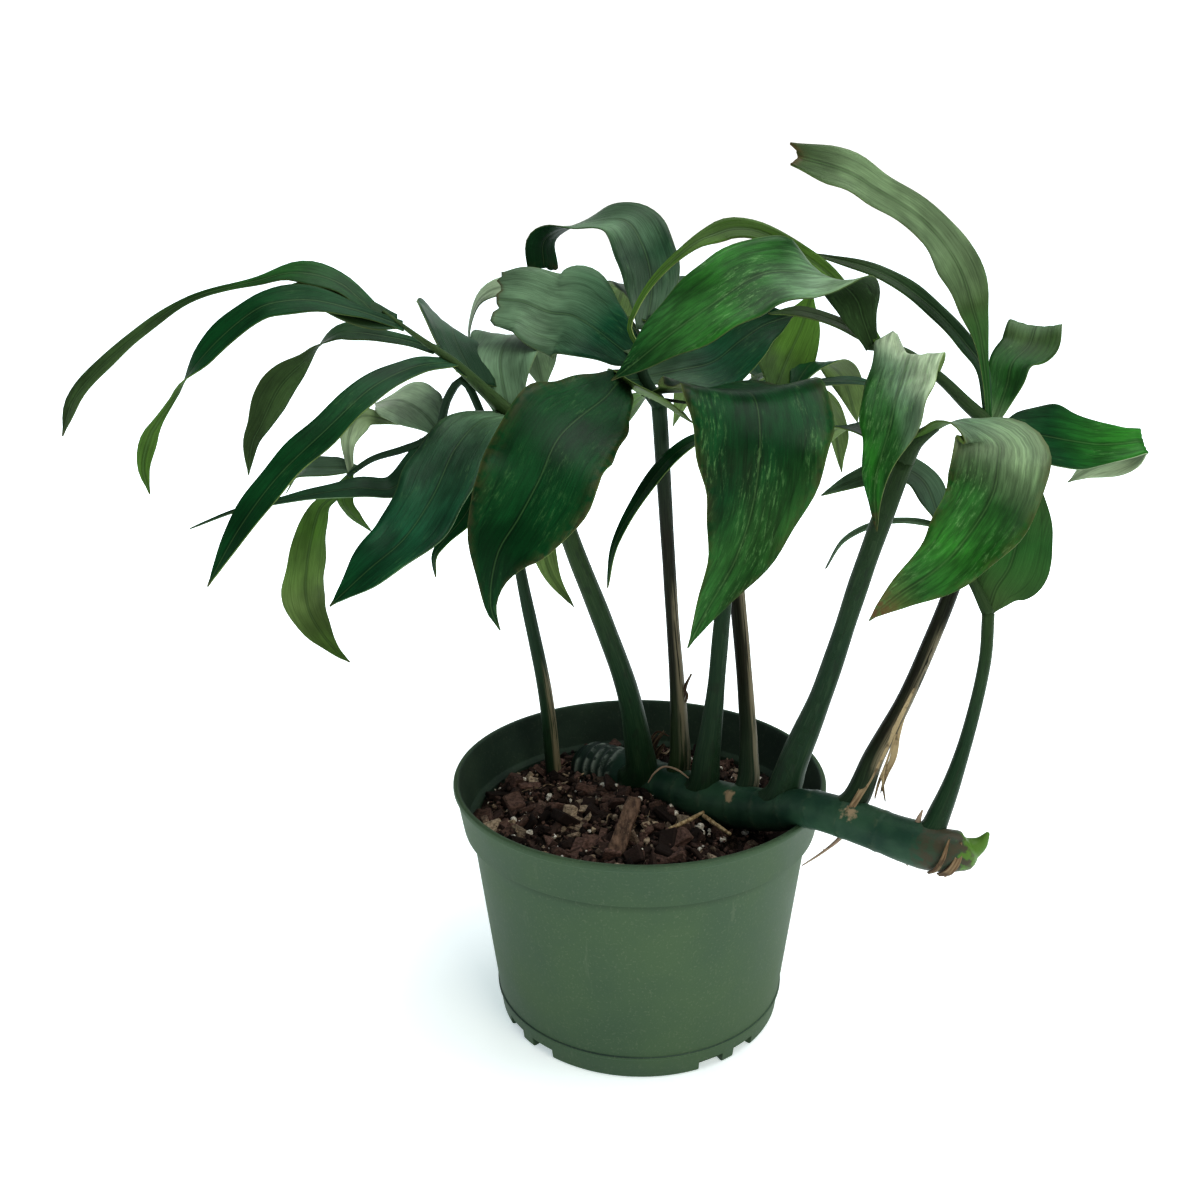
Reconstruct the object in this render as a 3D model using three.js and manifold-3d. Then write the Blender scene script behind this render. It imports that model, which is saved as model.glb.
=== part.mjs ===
// A potted dragon tail plant. A plastic nursery pot holds a bark mix, and a thick
// creeping stem lies half sunk in the mix and grows out over the rim. Eight lobed
// leaves stand on it on long petioles. Millimetres, +Z up, and the origin is the
// middle of the pot's flat underside.
import * as THREE from 'three';
import { mergeVertices } from 'three/addons/utils/BufferGeometryUtils.js';
import Module from 'manifold-3d';

const wasm = await Module();
wasm.setup();

// Pot: a 165 mm round nursery pot.
const potSides = 40;
const potHeight = 113;
const rimRadius = 82.5;
const footRadius = 64;
const bodyTopRadius = 75;
const collarFootRadius = 78.5;
const collarDrop = 21;
const wallThickness = 1.6;
const beadWidth = 2.6;
const beadHeight = 3;
const beadProud = 0.9;
const footRound = 1.2;
const floorThickness = 2;
const drainSize = { wide: 12, deep: 9, high: 5 };
const drainAngles = [-61, -45, -148, -131, 165, 120, 75, 15];

// Bark mix: its level at the wall and how far it mounds up in the middle.
const soilEdgeLevel = 91;
const soilMound = 5;
const soilRings = [68, 60, 51, 42, 33, 24, 15, 7];
const soilRoughness = 1.5;

// Clearance between pieces that touch on the real plant.
const seatGap = 0.35;

// Leaf blades.
const bladeThickness = 0.8;
const rowSpacing = 16;
const fewestRows = 4;
const mostRows = 10;
const narrowBlade = 12;
const bladeFold = 0.14;
const tubeSides = 6;

const colors = {
  pot: 0x3d5a3c,
  soil: 0x3b2c23,
  rhizome: 0x2c4a38,
  leaf: 0x1f5a30,
  sheath: 0xa98a62,
  bark: 0x6b4732,
  straw: 0xb49a6c,
};

// The creeping stem: centreline points, the radius at each, and the aerial root.
const rhizomePath = [
  [-26, 49, 95], [-22, 45, 95.5], [-7, 32, 97.5], [12, 15, 99.5], [29, -3, 102], [44, -15, 104.5],
  [58, -30, 110.5], [69, -43.5, 118.5], [83, -56, 121.5], [97, -67, 121.5], [110, -76, 121.5],
  [117, -79, 121], [121, -79, 120], [125, -79, 119.5], [128, -79, 120.5], [131, -79, 123], [133, -78, 127],
];
const rhizomeRadii = [7, 9.2, 9.2, 8.6, 8.6, 8.4, 8.2, 7, 7.2, 7.2, 8, 7.4, 6, 4, 2.7, 2, 0.7];
const rhizomeSides = 10;
const aerialRoot = {
  path: [[83, -57, 116], [80, -57, 110], [75, -53, 104], [69, -50, 97]],
  radii: [1.4, 1.2, 0.8, 0.6],
};

// The dry sheath: which points of leaf 7's petiole it follows, and how far outwards it sits.
const sheath = { from: 1, to: 5, shift: [1.8, -1], radii: [5, 4.1, 3.5, 2.9] };

// A slab of bark leaning out of the mix, and two bits of straw lying on it.
const slab = { size: [9, 4.5, 24], taper: 0.75, centre: [-8, -25, 99], lean: -50, turn: 14 };
const straw = {
  radii: [0.9, 0.9, 0.7],
  paths: [
    [[20, -24, 95.5], [25, -19, 97.5], [31, -14, 98]],
    [[28, -17, 99.5], [33, -22, 98.5], [39, -27, 96]],
  ],
};

// The leaves. Each has a petiole and a midrib as points with a radius at each, and
// lobes that start at the share "at" of the midrib's length. A lobe's path is the
// points after its root, and its widths and roll angles (degrees) are spread evenly along it.
// A positive roll dips the lobe's right edge, seen along it from the root.
const leaves = {
  leaf_1: {
    petiole: [[-40, 41, 84], [-41, 40, 94], [-44, 37, 135], [-52, 36, 184], [-61, 40, 235],
      [-70, 44, 266], [-78, 47, 280], [-85, 49, 272], [-89, 50, 259]],
    petioleRadii: [4, 4, 3.5, 3.1, 2.6, 2.1, 1.8, 1.8, 2],
    midrib: [[-89, 50, 259], [-97, 51, 252], [-107, 52, 248], [-122, 54, 243], [-133, 53, 236]],
    midribRadii: [2, 1.8, 1.7, 1.5, 1.3],
    lobes: {
      paleUp: { at: 0.04, roll: [-35, -25], width: [8, 22, 27, 22, 1.2],
        path: [[-98, 62, 262], [-112, 82, 265], [-128, 98, 261]] },
      paleCurled: { at: 0.97, roll: [60, 40], width: [3, 7, 14, 13, 1.2],
        path: [[-134, 62, 250], [-131, 80, 258], [-115, 92, 252]] },
      longDark: { at: 0.2, roll: [-35, -25], width: [6, 14, 15, 12, 7, 4, 2.5, 1.2],
        path: [[-110, 42, 233], [-126, 36, 234], [-153, 30, 231], [-177, 24, 227], [-197, 20, 220]] },
      hanging: { at: 0.97, roll: [35, 35, 25, 20, 15, 15],
        width: [2.5, 5.5, 9, 15, 19, 22, 23, 17, 7.5, 1.2],
        path: [[-142, 58, 225], [-149, 60, 219], [-158, 62, 191], [-160, 62, 176], [-158, 61, 165],
          [-147, 59, 148], [-140, 58, 142]] },
      left: { at: 0.9, roll: [-30, -30], width: [4, 13, 14, 10, 1.2],
        path: [[-145, 60, 238], [-158, 68, 235], [-168, 72, 223]] },
      small: { at: 0.97, roll: [0, 0], width: [3, 9, 9, 1.2],
        path: [[-137, 58, 223], [-134, 62, 215], [-127, 66, 206]] },
    },
  },
  leaf_2: {
    petiole: [[-3, 22, 98], [1, 17, 105], [0, 14, 117], [-5, 8, 148], [-15, 5, 180], [-26, 3, 211],
      [-40, 4, 250], [-52, 8, 271]],
    petioleRadii: [8, 6.6, 5.3, 4.9, 4.6, 4.2, 3.8, 3.4],
    midrib: [[-52, 8, 271], [-61, 6, 280], [-74, 0, 294], [-87, -6, 305], [-100, -10, 316]],
    midribRadii: [3.4, 3, 2.5, 2, 1.4],
    lobes: {
      topRibbon: { at: 0.9, roll: [-35, -40, -50, -55, -60, -70],
        width: [5.5, 9, 11, 13, 7, 3.5, 3, 4, 5.5, 6.5, 7.5, 7.5, 7.5, 1.2],
        path: [[-101, -11, 314], [-116, -12, 327], [-133, -12, 331], [-148, -12, 328], [-170, -11, 323],
          [-180, -10, 319], [-199, -8, 307], [-217, -8, 293], [-228, -9, 281], [-234, -10, 267]] },
      secondRibbon: { at: 0.86, roll: [-45, -45, -40, -25, 80, 140],
        width: [5, 5, 6, 10, 13, 14, 13, 12, 12, 12, 9, 3, 3.5, 6.5, 5, 1.2],
        path: [[-110, -20, 318], [-125, -26, 322], [-139, -32, 321], [-145, -35, 318], [-156, -41, 309],
          [-166, -46, 298], [-173, -49, 288], [-179, -50, 280], [-182, -51, 275], [-185, -53, 264],
          [-183, -55, 254]] },
      third: { at: 0.62, roll: [-35, -40, -15, 45, 40, 35],
        width: [5, 5, 6, 7.5, 12, 12, 9, 14, 18, 17, 11, 6, 1.2],
        path: [[-94, 3, 303], [-114, 5, 306], [-121, 5, 306], [-131, 4, 300], [-135, 3, 296],
          [-144, 2, 288], [-148, 1, 283], [-155, -1, 270], [-159, -2, 263], [-162, -2, 249]] },
      longFront: { at: 0.5, roll: [-30, -20, -10], width: [6, 9, 11, 13, 14, 14, 13, 9, 1.2],
        path: [[-87, -22, 296], [-100, -38, 291], [-115, -56, 278], [-130, -70, 264], [-142, -82, 248],
          [-153, -90, 229]] },
      darkBack: { at: 0.32, roll: [40, 40], width: [22, 38, 38, 26, 1.2],
        path: [[-77, 22, 301], [-81, 46, 303], [-84, 72, 297], [-84, 96, 286]] },
      broadBack: { at: 0.04, roll: [0, 0], width: [12, 32, 36, 34, 20, 1.2],
        path: [[-58, 20, 292], [-55, 46, 299], [-50, 80, 292], [-46, 106, 265]] },
      broadFront: { at: 0.02, roll: [-10, -5], width: [8, 18, 26, 30, 29, 26, 18, 1.2],
        path: [[-63, -12, 273], [-71, -30, 266], [-78, -50, 251], [-87, -66, 239], [-98, -76, 231],
          [-112, -82, 219]] },
      hooked: { at: 0, roll: [-20, -20], width: [4, 12, 16, 12, 5, 1.2],
        path: [[-67, 0, 250], [-70, -8, 236], [-80, -14, 224], [-84, -16, 218], [-84, -16, 209]] },
      yellowTip: { at: 0, roll: [-60, -60], width: [5, 14, 15, 10, 1.2],
        path: [[-49, 26, 251], [-44, 28, 217], [-39, 26, 197], [-29, 22, 183]] },
    },
  },
  leaf_3: {
    petiole: [[14, 14, 101], [18, 12, 109], [18, 14, 130], [14, 18, 188], [9, 10, 262], [8, 8, 276]],
    petioleRadii: [6, 4.6, 3.3, 3.1, 3.3, 3.4],
    midrib: [[8, 8, 276], [1, 3, 288], [0, 4, 299], [5, 12, 311]],
    midribRadii: [3.4, 3, 2.2, 1.5],
    lobes: {
      broadLeft: { at: 0.33, roll: [-70, -35, -35, -20, -20, -35],
        width: [5.5, 10, 20, 32, 40, 42, 41, 30, 9, 1.2],
        path: [[-7, -14, 289], [-13, -34, 286], [-29, -68, 277], [-35, -80, 265], [-42, -88, 253],
          [-49, -92, 242], [-52, -94, 223], [-49, -94, 214]] },
      tornLeft: { at: 0.5, roll: [-40, -55, -50, -55, -50, -55],
        width: [8, 15, 20, 28, 36, 42, 36, 33, 30, 24],
        path: [[-9, 14, 299], [-18, 20, 305], [-28, 26, 310], [-38, 30, 311], [-49, 33, 315],
          [-60, 35, 316]] },
      topArch: { at: 0.85, roll: [-45, -40, -30, 0, 30], width: [8, 19, 25, 25, 23, 22, 19, 16],
        path: [[5, 24, 323], [1, 36, 338], [-6, 44, 347], [-22, 52, 346], [-35, 58, 343],
          [-42, 61, 338], [-42, 61, 326]] },
      hanging: { at: 0.15, roll: [0, 0], width: [6, 20, 44, 56, 56, 49, 38, 24, 11, 1.2],
        path: [[22, -18, 286], [35, -42, 290], [41, -60, 290], [42, -76, 276], [39, -84, 255],
          [33, -90, 238], [23, -95, 221], [17, -98, 209]] },
      tealRight: { at: 0.35, roll: [50, 50, 50, 40, 40, 45],
        width: [8, 10, 17, 24, 31, 30, 27, 22, 15, 1.2],
        path: [[17, 22, 288], [31, 30, 290], [43, 36, 298], [53, 40, 304], [66, 42, 308]] },
      paleBack: { at: 0.6, roll: [-30, -30], width: [4, 8, 9, 9, 8, 6, 1.2],
        path: [[-17, 58, 305], [-40, 74, 312], [-61, 82, 317], [-73, 86, 312], [-79, 88, 299],
          [-80, 88, 290]] },
      backRight: { at: 0.95, roll: [0, 0], width: [6, 20, 25, 19, 1.2],
        path: [[20, 48, 320], [36, 82, 316], [46, 114, 286]] },
      backLeft: { at: 0.95, roll: [0, 0], width: [6, 20, 24, 18, 1.2],
        path: [[2, 52, 318], [-8, 92, 314], [-14, 126, 282]] },
      fold: { at: 0.05, roll: [-50, -60], width: [10, 16, 17, 14, 4],
        path: [[-1, -2, 283], [5, -16, 283], [20, -30, 276]] },
    },
  },
  leaf_4: {
    petiole: [[22, 4, 101.5], [28, -3, 107], [30, -2, 122], [33, 2, 147], [36, 8, 184], [40, 16, 225],
      [42, 20, 262]],
    petioleRadii: [7.6, 6.4, 4.4, 3.7, 3.5, 3.3, 3.1],
    midrib: [[42, 20, 262], [49, 24, 272], [60, 34, 277], [70, 42, 278]],
    midribRadii: [3.1, 2.6, 2, 1.4],
    lobes: {
      darkLeft: { at: 0, roll: [0, 0], width: [5, 9, 11, 9, 7, 4, 1.2],
        path: [[25, 6, 262], [13, -2, 256], [0, -12, 241], [-10, -20, 224], [-13, -24, 207]] },
      yellowUp: { at: 0.6, roll: [-135, -135], width: [6, 24, 27, 20, 1.2],
        path: [[65, 56, 287], [72, 66, 300], [77, 72, 315]] },
      strap: { at: 1, roll: [30, 30], width: [3, 5, 6, 5, 1.2],
        path: [[85, 52, 278], [101, 60, 276], [118, 68, 268]] },
      back: { at: 0.9, roll: [0, 0], width: [5, 18, 21, 16, 1.2],
        path: [[78, 62, 285], [94, 86, 276], [106, 104, 250]] },
    },
  },
  leaf_5: {
    petiole: [[42, -13, 105], [47, -12, 112], [48, -4, 126], [46, 18, 163], [44, 28, 184],
      [41, 42, 220], [40, 58, 252]],
    petioleRadii: [6, 4.6, 3.8, 3.7, 3.6, 3.3, 2.8],
    midrib: [[40, 58, 252], [44, 72, 264], [53, 90, 272], [60, 106, 273]],
    midribRadii: [2.8, 2.3, 1.8, 1.3],
    lobes: {
      left: { at: 0.3, roll: [0, 0], width: [5, 20, 27, 23, 12, 1.2],
        path: [[22, 90, 268], [0, 108, 262], [-16, 118, 236], [-22, 120, 212]] },
      right: { at: 0.55, roll: [0, 0], width: [5, 18, 23, 16, 1.2],
        path: [[74, 98, 270], [94, 112, 252], [102, 118, 222]] },
      backLeft: { at: 0.9, roll: [0, 0], width: [5, 19, 24, 18, 1.2],
        path: [[46, 134, 278], [30, 156, 266], [18, 168, 236]] },
      back: { at: 1, roll: [0, 0], width: [5, 18, 23, 17, 1.2],
        path: [[66, 132, 274], [70, 156, 256], [68, 168, 226]] },
    },
  },
  leaf_6: {
    petiole: [[54, -25, 108], [60, -30, 117], [64.5, -29, 132], [75, -30, 164], [89, -35, 222],
      [100, -38, 262]],
    petioleRadii: [7.8, 6.6, 4.8, 4.2, 4.1, 3.9],
    midrib: [[100, -38, 262], [103, -41, 270], [109, -46, 277]],
    midribRadii: [3.9, 3.2, 2.2],
    lobes: {
      front: { at: 0.6, roll: [45, 45, 70, 73, 70, 60, 60],
        width: [8, 16, 28, 34, 33, 30, 25, 18, 10, 1.2],
        path: [[114, -53, 280], [127, -64, 275], [126, -72, 269], [123, -79, 259], [109, -90, 242],
          [100, -94, 235], [90, -97, 229], [82, -99, 223], [79, -100, 220]] },
      leftBack: { at: 0.15, roll: [0, 0], width: [4, 16, 20, 16, 1.2],
        path: [[92, -14, 268], [82, 6, 267], [74, 20, 252]] },
    },
  },
  leaf_7: {
    petiole: [[78, -53, 120], [86, -54, 127], [94.5, -46, 143], [107.5, -36, 164], [125, -26, 207],
      [134, -18, 236], [139, -10, 262]],
    petioleRadii: [7, 5.6, 3.9, 3.3, 3.1, 3, 3],
    midrib: [[139, -10, 262], [139, -8, 269], [129, -6, 279], [118, -6, 289], [103, -4, 299],
      [91, 0, 300]],
    midribRadii: [3, 2.9, 2.5, 2.1, 1.8, 1.5],
    lobes: {
      streaked: { at: 0.98, roll: [85, 40, -35, -30, -25, -25],
        width: [6, 15, 23, 25, 29, 30, 29, 24, 13, 1.2],
        path: [[87, -4, 312], [84, -8, 319], [73, -20, 328], [50, -34, 332], [40, -41, 330],
          [31, -47, 325], [12, -56, 313], [-4, -61, 301], [-10, -62, 297]] },
      curledThin: { at: 0.92, roll: [-65, -70, -70, -55, -45, -20],
        width: [3, 5, 6, 7, 7.5, 8, 9, 10, 6, 4, 3, 2.5, 2, 1.2],
        path: [[79, 10, 324], [68, 14, 333], [47, 13, 344], [37, 12, 345], [30, 10, 343], [22, 7, 340],
          [8, 0, 329], [2, -4, 322], [-2, -8, 315], [-4, -11, 309], [1, -16, 301], [6, -18, 299]] },
      tall: { at: 0.1, roll: [-65, -65, -65, -65, -60, -60],
        width: [2.5, 2.5, 5.5, 14, 19, 16, 14, 16, 16, 9],
        path: [[137, -6, 286], [134, 0, 306], [132, 3, 313], [126, 8, 330], [112, 10, 347],
          [91, 8, 360], [80, 6, 366], [59, 2, 372]] },
      narrowArch: { at: 0.12, roll: [-50, -50], width: [3, 5, 7.5, 7.5, 7, 5, 1.2],
        path: [[137, 2, 291], [132, 8, 299], [118, 18, 314], [100, 26, 326], [71, 34, 334]] },
      darkArch: { at: 0.94, roll: [-30, -30], width: [3, 6, 7, 6, 1.2],
        path: [[81, 6, 308], [64, 8, 313], [52, 12, 312]] },
      tornHanging: { at: 0.74, roll: [10, 10], width: [24, 27, 27, 26, 25, 23, 16, 10, 4.5, 1.2],
        path: [[103, -20, 299], [99, -30, 292], [95, -40, 285], [92, -48, 277], [86, -58, 260],
          [86, -60, 250], [87, -61, 241]] },
      foldedUp: { at: 0.1, roll: [0, -5, -5, 10, 10, 10],
        width: [3.5, 6.5, 10, 14, 17, 21, 23, 22, 20, 15],
        path: [[144, -2, 276], [148, 4, 284], [151, 10, 292], [159, 17, 298], [163, 24, 305],
          [167, 32, 300]] },
      foldedRight: { at: 0.06, roll: [45, 60, 65, 60, 30, -5],
        width: [3, 9, 20, 28, 24, 17, 14, 16, 10, 1.2],
        path: [[153, 4, 265], [161, 10, 263], [182, 18, 258], [194, 21, 256], [206, 24, 256],
          [214, 26, 256], [211, 28, 250], [192, 26, 244], [183, 24, 239]] },
      back: { at: 0.04, roll: [0, 0], width: [4, 18, 22, 18, 1.2],
        path: [[156, 24, 252], [168, 50, 232], [168, 66, 200]] },
    },
  },
  leaf_8: {
    petiole: [[104, -72, 121.5], [111, -75, 124], [117, -71, 134], [126, -62, 157], [132, -57, 189],
      [133, -52, 206]],
    petioleRadii: [6.8, 6, 3.2, 2.5, 2.4, 2.4],
    midrib: [[133, -52, 206], [128, -48, 216], [121, -42, 228], [116, -36, 238]],
    midribRadii: [2.4, 1.9, 1.5, 1.2],
    lobes: {
      entire: { at: 0.02, roll: [-125, -130, -130, -130, -130, -130],
        width: [5, 16, 24, 30, 31, 29, 25, 18, 10, 1.2],
        path: [[134, -50, 210], [136, -48, 215], [141, -46, 223], [145, -42, 240], [147, -40, 249],
          [149, -38, 258]] },
      narrowUp: { at: 1, roll: [-30, -30], width: [3, 12, 14, 13, 10, 1.2],
        path: [[112, -16, 250], [102, -12, 254], [90, -8, 249], [74, -6, 241]] },
      narrowDown: { at: 0.95, roll: [-20, -20], width: [2.5, 4, 4, 4, 3, 1.2],
        path: [[105, -27, 236], [94, -24, 234], [82, -20, 226], [75, -20, 214]] },
    },
  },
};

// Points as vectors.
function vectors(points) {
  return points.map((point) => new THREE.Vector3(...point));
}

// The value of a list spread evenly over 0 to 1, on a smooth curve through it.
function along(list, share) {
  const place = share * (list.length - 1);
  const index = Math.min(Math.floor(place), list.length - 2);
  const f = place - index;
  const b = list[index];
  const c = list[index + 1];
  const a = index > 0 ? list[index - 1] : b;
  const d = index + 2 < list.length ? list[index + 2] : c;
  const value = b + 0.5 * f * (c - a + f * (2 * a - 5 * b + 4 * c - d + f * (3 * (b - c) + d - a)));
  return Math.min(Math.max(value, Math.min(b, c)), Math.max(b, c));
}

// A frame at each point: the tangent, the side to its right and the face normal.
// The first side is level and square to the way the whole path heads.
function framesAlong(points) {
  const heading = points[points.length - 1].clone().sub(points[0]).setZ(0);
  if (heading.length() < 1) heading.set(1, 0, 0);
  const side = new THREE.Vector3(heading.y, -heading.x, 0).normalize();
  return points.map((point, i) => {
    const before = points[Math.max(i - 1, 0)];
    const after = points[Math.min(i + 1, points.length - 1)];
    const tangent = after.clone().sub(before).normalize();
    side.addScaledVector(tangent, -side.dot(tangent)).normalize();
    return { point, tangent, side: side.clone(), normal: side.clone().cross(tangent) };
  });
}

// A closed round bar along a path: a cylinder bent onto it, with a radius for each point.
function tubeGeometry(path, radii, extra = 0, sides = tubeSides) {
  const steps = (path.length - 1) * 2;
  const curve = new THREE.CatmullRomCurve3(vectors(path), false, 'centripetal');
  const frames = framesAlong(curve.getPoints(steps));
  const geometry = new THREE.CylinderGeometry(1, 1, 1, sides, steps);
  const position = geometry.attributes.position;
  for (let i = 0; i < position.count; i++) {
    const share = position.getY(i) + 0.5;
    const { point, side, normal, tangent } = frames[Math.round(share * steps)];
    const radius = along(radii, share) + extra;
    const moved = point.clone();
    moved.addScaledVector(side, position.getX(i) * radius);
    moved.addScaledVector(normal, position.getZ(i) * radius);
    if (share === 0) moved.addScaledVector(tangent, -extra);
    position.setXYZ(i, moved.x, moved.y, moved.z);
  }
  return geometry;
}

// A thin closed blade along a lobe's path, with both faces split into triangles alike.
function bladeGeometry(root, lobe) {
  const columns = Math.max(...lobe.width) < narrowBlade ? 2 : 4;
  const curve = new THREE.CatmullRomCurve3([root, ...vectors(lobe.path)], false, 'centripetal');
  const rows = THREE.MathUtils.clamp(Math.round(curve.getLength() / rowSpacing), fewestRows, mostRows);
  const frames = framesAlong(curve.getSpacedPoints(rows));
  const positions = [];
  for (const face of [1, -1]) {
    frames.forEach(({ point, tangent, side, normal }, row) => {
      const roll = THREE.MathUtils.degToRad(along(lobe.roll, row / rows));
      const turnedSide = side.clone().applyAxisAngle(tangent, roll);
      const turnedNormal = normal.clone().applyAxisAngle(tangent, roll);
      const half = along(lobe.width, row / rows) / 2;
      for (let column = 0; column <= columns; column++) {
        const across = (2 * column) / columns - 1;
        const lift = face * bladeThickness / 2 + bladeFold * half * Math.abs(across);
        const corner = point.clone().addScaledVector(turnedSide, across * half);
        positions.push(...corner.addScaledVector(turnedNormal, lift).toArray());
      }
    });
  }
  const at = (face, row, column) => (face * (rows + 1) + row) * (columns + 1) + column;
  const index = [];
  const quad = (a, b, c, d) => index.push(a, b, c, a, c, d);
  for (let row = 0; row < rows; row++) {
    for (let column = 0; column < columns; column++) {
      const [a, b, c, d] = [[row, column], [row, column + 1], [row + 1, column + 1], [row + 1, column]];
      quad(at(0, ...a), at(0, ...b), at(0, ...c), at(0, ...d));
      index.push(at(1, ...a), at(1, ...c), at(1, ...b), at(1, ...a), at(1, ...d), at(1, ...c));
    }
    quad(at(0, row, 0), at(0, row + 1, 0), at(1, row + 1, 0), at(1, row, 0));
    quad(at(0, row + 1, columns), at(0, row, columns), at(1, row, columns), at(1, row + 1, columns));
  }
  for (let column = 0; column < columns; column++) {
    quad(at(0, 0, column + 1), at(0, 0, column), at(1, 0, column), at(1, 0, column + 1));
    quad(at(0, rows, column), at(0, rows, column + 1), at(1, rows, column + 1), at(1, rows, column));
  }
  const geometry = new THREE.BufferGeometry();
  geometry.setAttribute('position', new THREE.Float32BufferAttribute(positions, 3));
  geometry.setIndex(index);
  return geometry;
}

// A three.js geometry as a solid that can be joined and cut.
function solidOf(geometry) {
  const bare = geometry.clone();
  bare.deleteAttribute('normal');
  bare.deleteAttribute('uv');
  const merged = mergeVertices(bare);
  return new wasm.Manifold(new wasm.Mesh({
    numProp: 3,
    vertProperties: new Float32Array(merged.attributes.position.array),
    triVerts: new Uint32Array(merged.index.array),
  }));
}

// A solid as a named mesh with its own material.
function meshOf(name, solid, color, roughness) {
  const { vertProperties, triVerts } = solid.getMesh();
  const geometry = new THREE.BufferGeometry();
  geometry.setAttribute('position', new THREE.BufferAttribute(vertProperties, 3));
  geometry.setIndex(new THREE.BufferAttribute(triVerts, 1));
  geometry.computeVertexNormals();
  const mesh = new THREE.Mesh(geometry, new THREE.MeshStandardMaterial({ color, roughness, metalness: 0 }));
  mesh.name = name;
  return mesh;
}

// A closed solid turned about the pot's axis from pairs of radius and height.
function lathe(profile) {
  const geometry = new THREE.LatheGeometry(profile.map(([r, z]) => new THREE.Vector2(r, z)), potSides);
  return geometry.rotateX(Math.PI / 2);
}

// The radius of the pot's outer wall below the collar.
function outerRadius(z) {
  return footRadius + (bodyTopRadius - footRadius) * z / (potHeight - collarDrop);
}

// Pot: a turned profile, up the outside and down the inside, with drain notches cut at the foot.
function buildPot() {
  const step = potHeight - collarDrop;
  const shell = lathe([
    [0, 0],
    [footRadius - footRound, 0],
    [outerRadius(footRound), footRound],
    [bodyTopRadius, step],
    [collarFootRadius, step + 0.8],
    [rimRadius - beadProud, potHeight - beadHeight],
    [rimRadius, potHeight - beadHeight + beadProud],
    [rimRadius - 0.6, potHeight],
    [rimRadius - beadWidth, potHeight],
    [rimRadius - beadWidth - 0.2, potHeight - beadHeight],
    [collarFootRadius - wallThickness - 0.3, step + 1],
    [bodyTopRadius - wallThickness, step - 2],
    [outerRadius(floorThickness) - wallThickness, floorThickness],
    [0, floorThickness],
  ]);
  const drains = drainAngles.map((angle) => {
    const { wide, deep, high } = drainSize;
    const notch = new THREE.BoxGeometry(deep, wide, high * 2);
    notch.translate(footRadius, 0, 0).rotateZ(THREE.MathUtils.degToRad(angle));
    return solidOf(notch);
  });
  return wasm.Manifold.difference([solidOf(shell), ...drains]);
}

// The height of the mix's rough top above the level of the ring it stands on.
function soilRelief(x, y) {
  const coarse = Math.sin(x * 0.31 + 1.3) * Math.cos(y * 0.27 - 0.6);
  const fine = Math.sin(x * 0.83 - y * 0.41) * Math.sin(y * 0.77 + x * 0.19 + 2.1);
  return soilRoughness * (0.6 * coarse + 0.6 * fine);
}

// The mix: a turned solid that fills the pot, with its top set rough.
function buildSoil() {
  const inside = (z) => outerRadius(z) - wallThickness;
  const floor = floorThickness + seatGap;
  const edge = inside(soilEdgeLevel - 2) - seatGap;
  const rise = (radius) => soilEdgeLevel + soilMound * Math.cos((Math.PI / 2) * (radius / edge)) ** 1.3;
  const profile = [[0, floor], [inside(floor) - seatGap, floor], [edge, soilEdgeLevel - 2]];
  profile.push(...soilRings.map((radius) => [radius, rise(radius)]), [0, rise(0)]);
  const geometry = lathe(profile);
  const position = geometry.attributes.position;
  for (let i = 0; i < position.count; i++) {
    if (position.getZ(i) < soilEdgeLevel - 1) continue;
    position.setZ(i, position.getZ(i) + soilRelief(position.getX(i), position.getY(i)));
  }
  return solidOf(geometry);
}

// The creeping stem with its aerial root.
function buildRhizome(extra = 0) {
  const stem = tubeGeometry(rhizomePath, rhizomeRadii, extra, rhizomeSides);
  const root = tubeGeometry(aerialRoot.path, aerialRoot.radii);
  return solidOf(stem).add(solidOf(root));
}

// One leaf: petiole, midrib and lobes in one solid. The lobes' roots are sunk in the midrib.
function buildLeaf(leaf) {
  const midrib = new THREE.CatmullRomCurve3(vectors(leaf.midrib), false, 'centripetal');
  const parts = [
    solidOf(tubeGeometry(leaf.petiole, leaf.petioleRadii)),
    solidOf(tubeGeometry(leaf.midrib, leaf.midribRadii)),
  ];
  for (const lobe of Object.values(leaf.lobes)) {
    parts.push(solidOf(bladeGeometry(midrib.getPointAt(lobe.at), lobe)));
  }
  return wasm.Manifold.union(parts);
}

// The papery sheath on the outer side of leaf 7's petiole: a strip of tube wall, thin towards both ends.
function buildSheath() {
  const { petiole, petioleRadii } = leaves.leaf_7;
  const [right, back] = sheath.shift;
  const path = petiole.slice(sheath.from, sheath.to).map(([x, y, z]) => [x + right, y + back, z]);
  const own = solidOf(tubeGeometry(path, sheath.radii));
  const inner = solidOf(tubeGeometry(petiole, petioleRadii, seatGap));
  return wasm.Manifold.difference([own, inner, buildRhizome(seatGap)]);
}

// The slab of bark, a tapered block leaning out of the mix.
function slabGeometry(extra = 0) {
  const { size, taper, centre, lean, turn } = slab;
  const geometry = new THREE.BoxGeometry(size[0] + 2 * extra, size[1] + 2 * extra, size[2] + 2 * extra);
  const position = geometry.attributes.position;
  for (let i = 0; i < position.count; i++) {
    if (position.getZ(i) > 0) position.setX(i, position.getX(i) * taper);
  }
  geometry.rotateX(THREE.MathUtils.degToRad(lean)).rotateZ(THREE.MathUtils.degToRad(turn));
  return geometry.translate(...centre);
}

// The rim of the pot grown by the clearance, which presses a shallow saddle into the stem.
function rimCutter() {
  const inner = rimRadius - beadWidth - 3 * seatGap;
  const outer = rimRadius + seatGap;
  const low = potHeight - 2 * beadHeight;
  const high = potHeight + seatGap;
  return solidOf(lathe([[inner, low], [outer, low], [outer, high], [inner, high], [inner, low]]));
}

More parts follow.
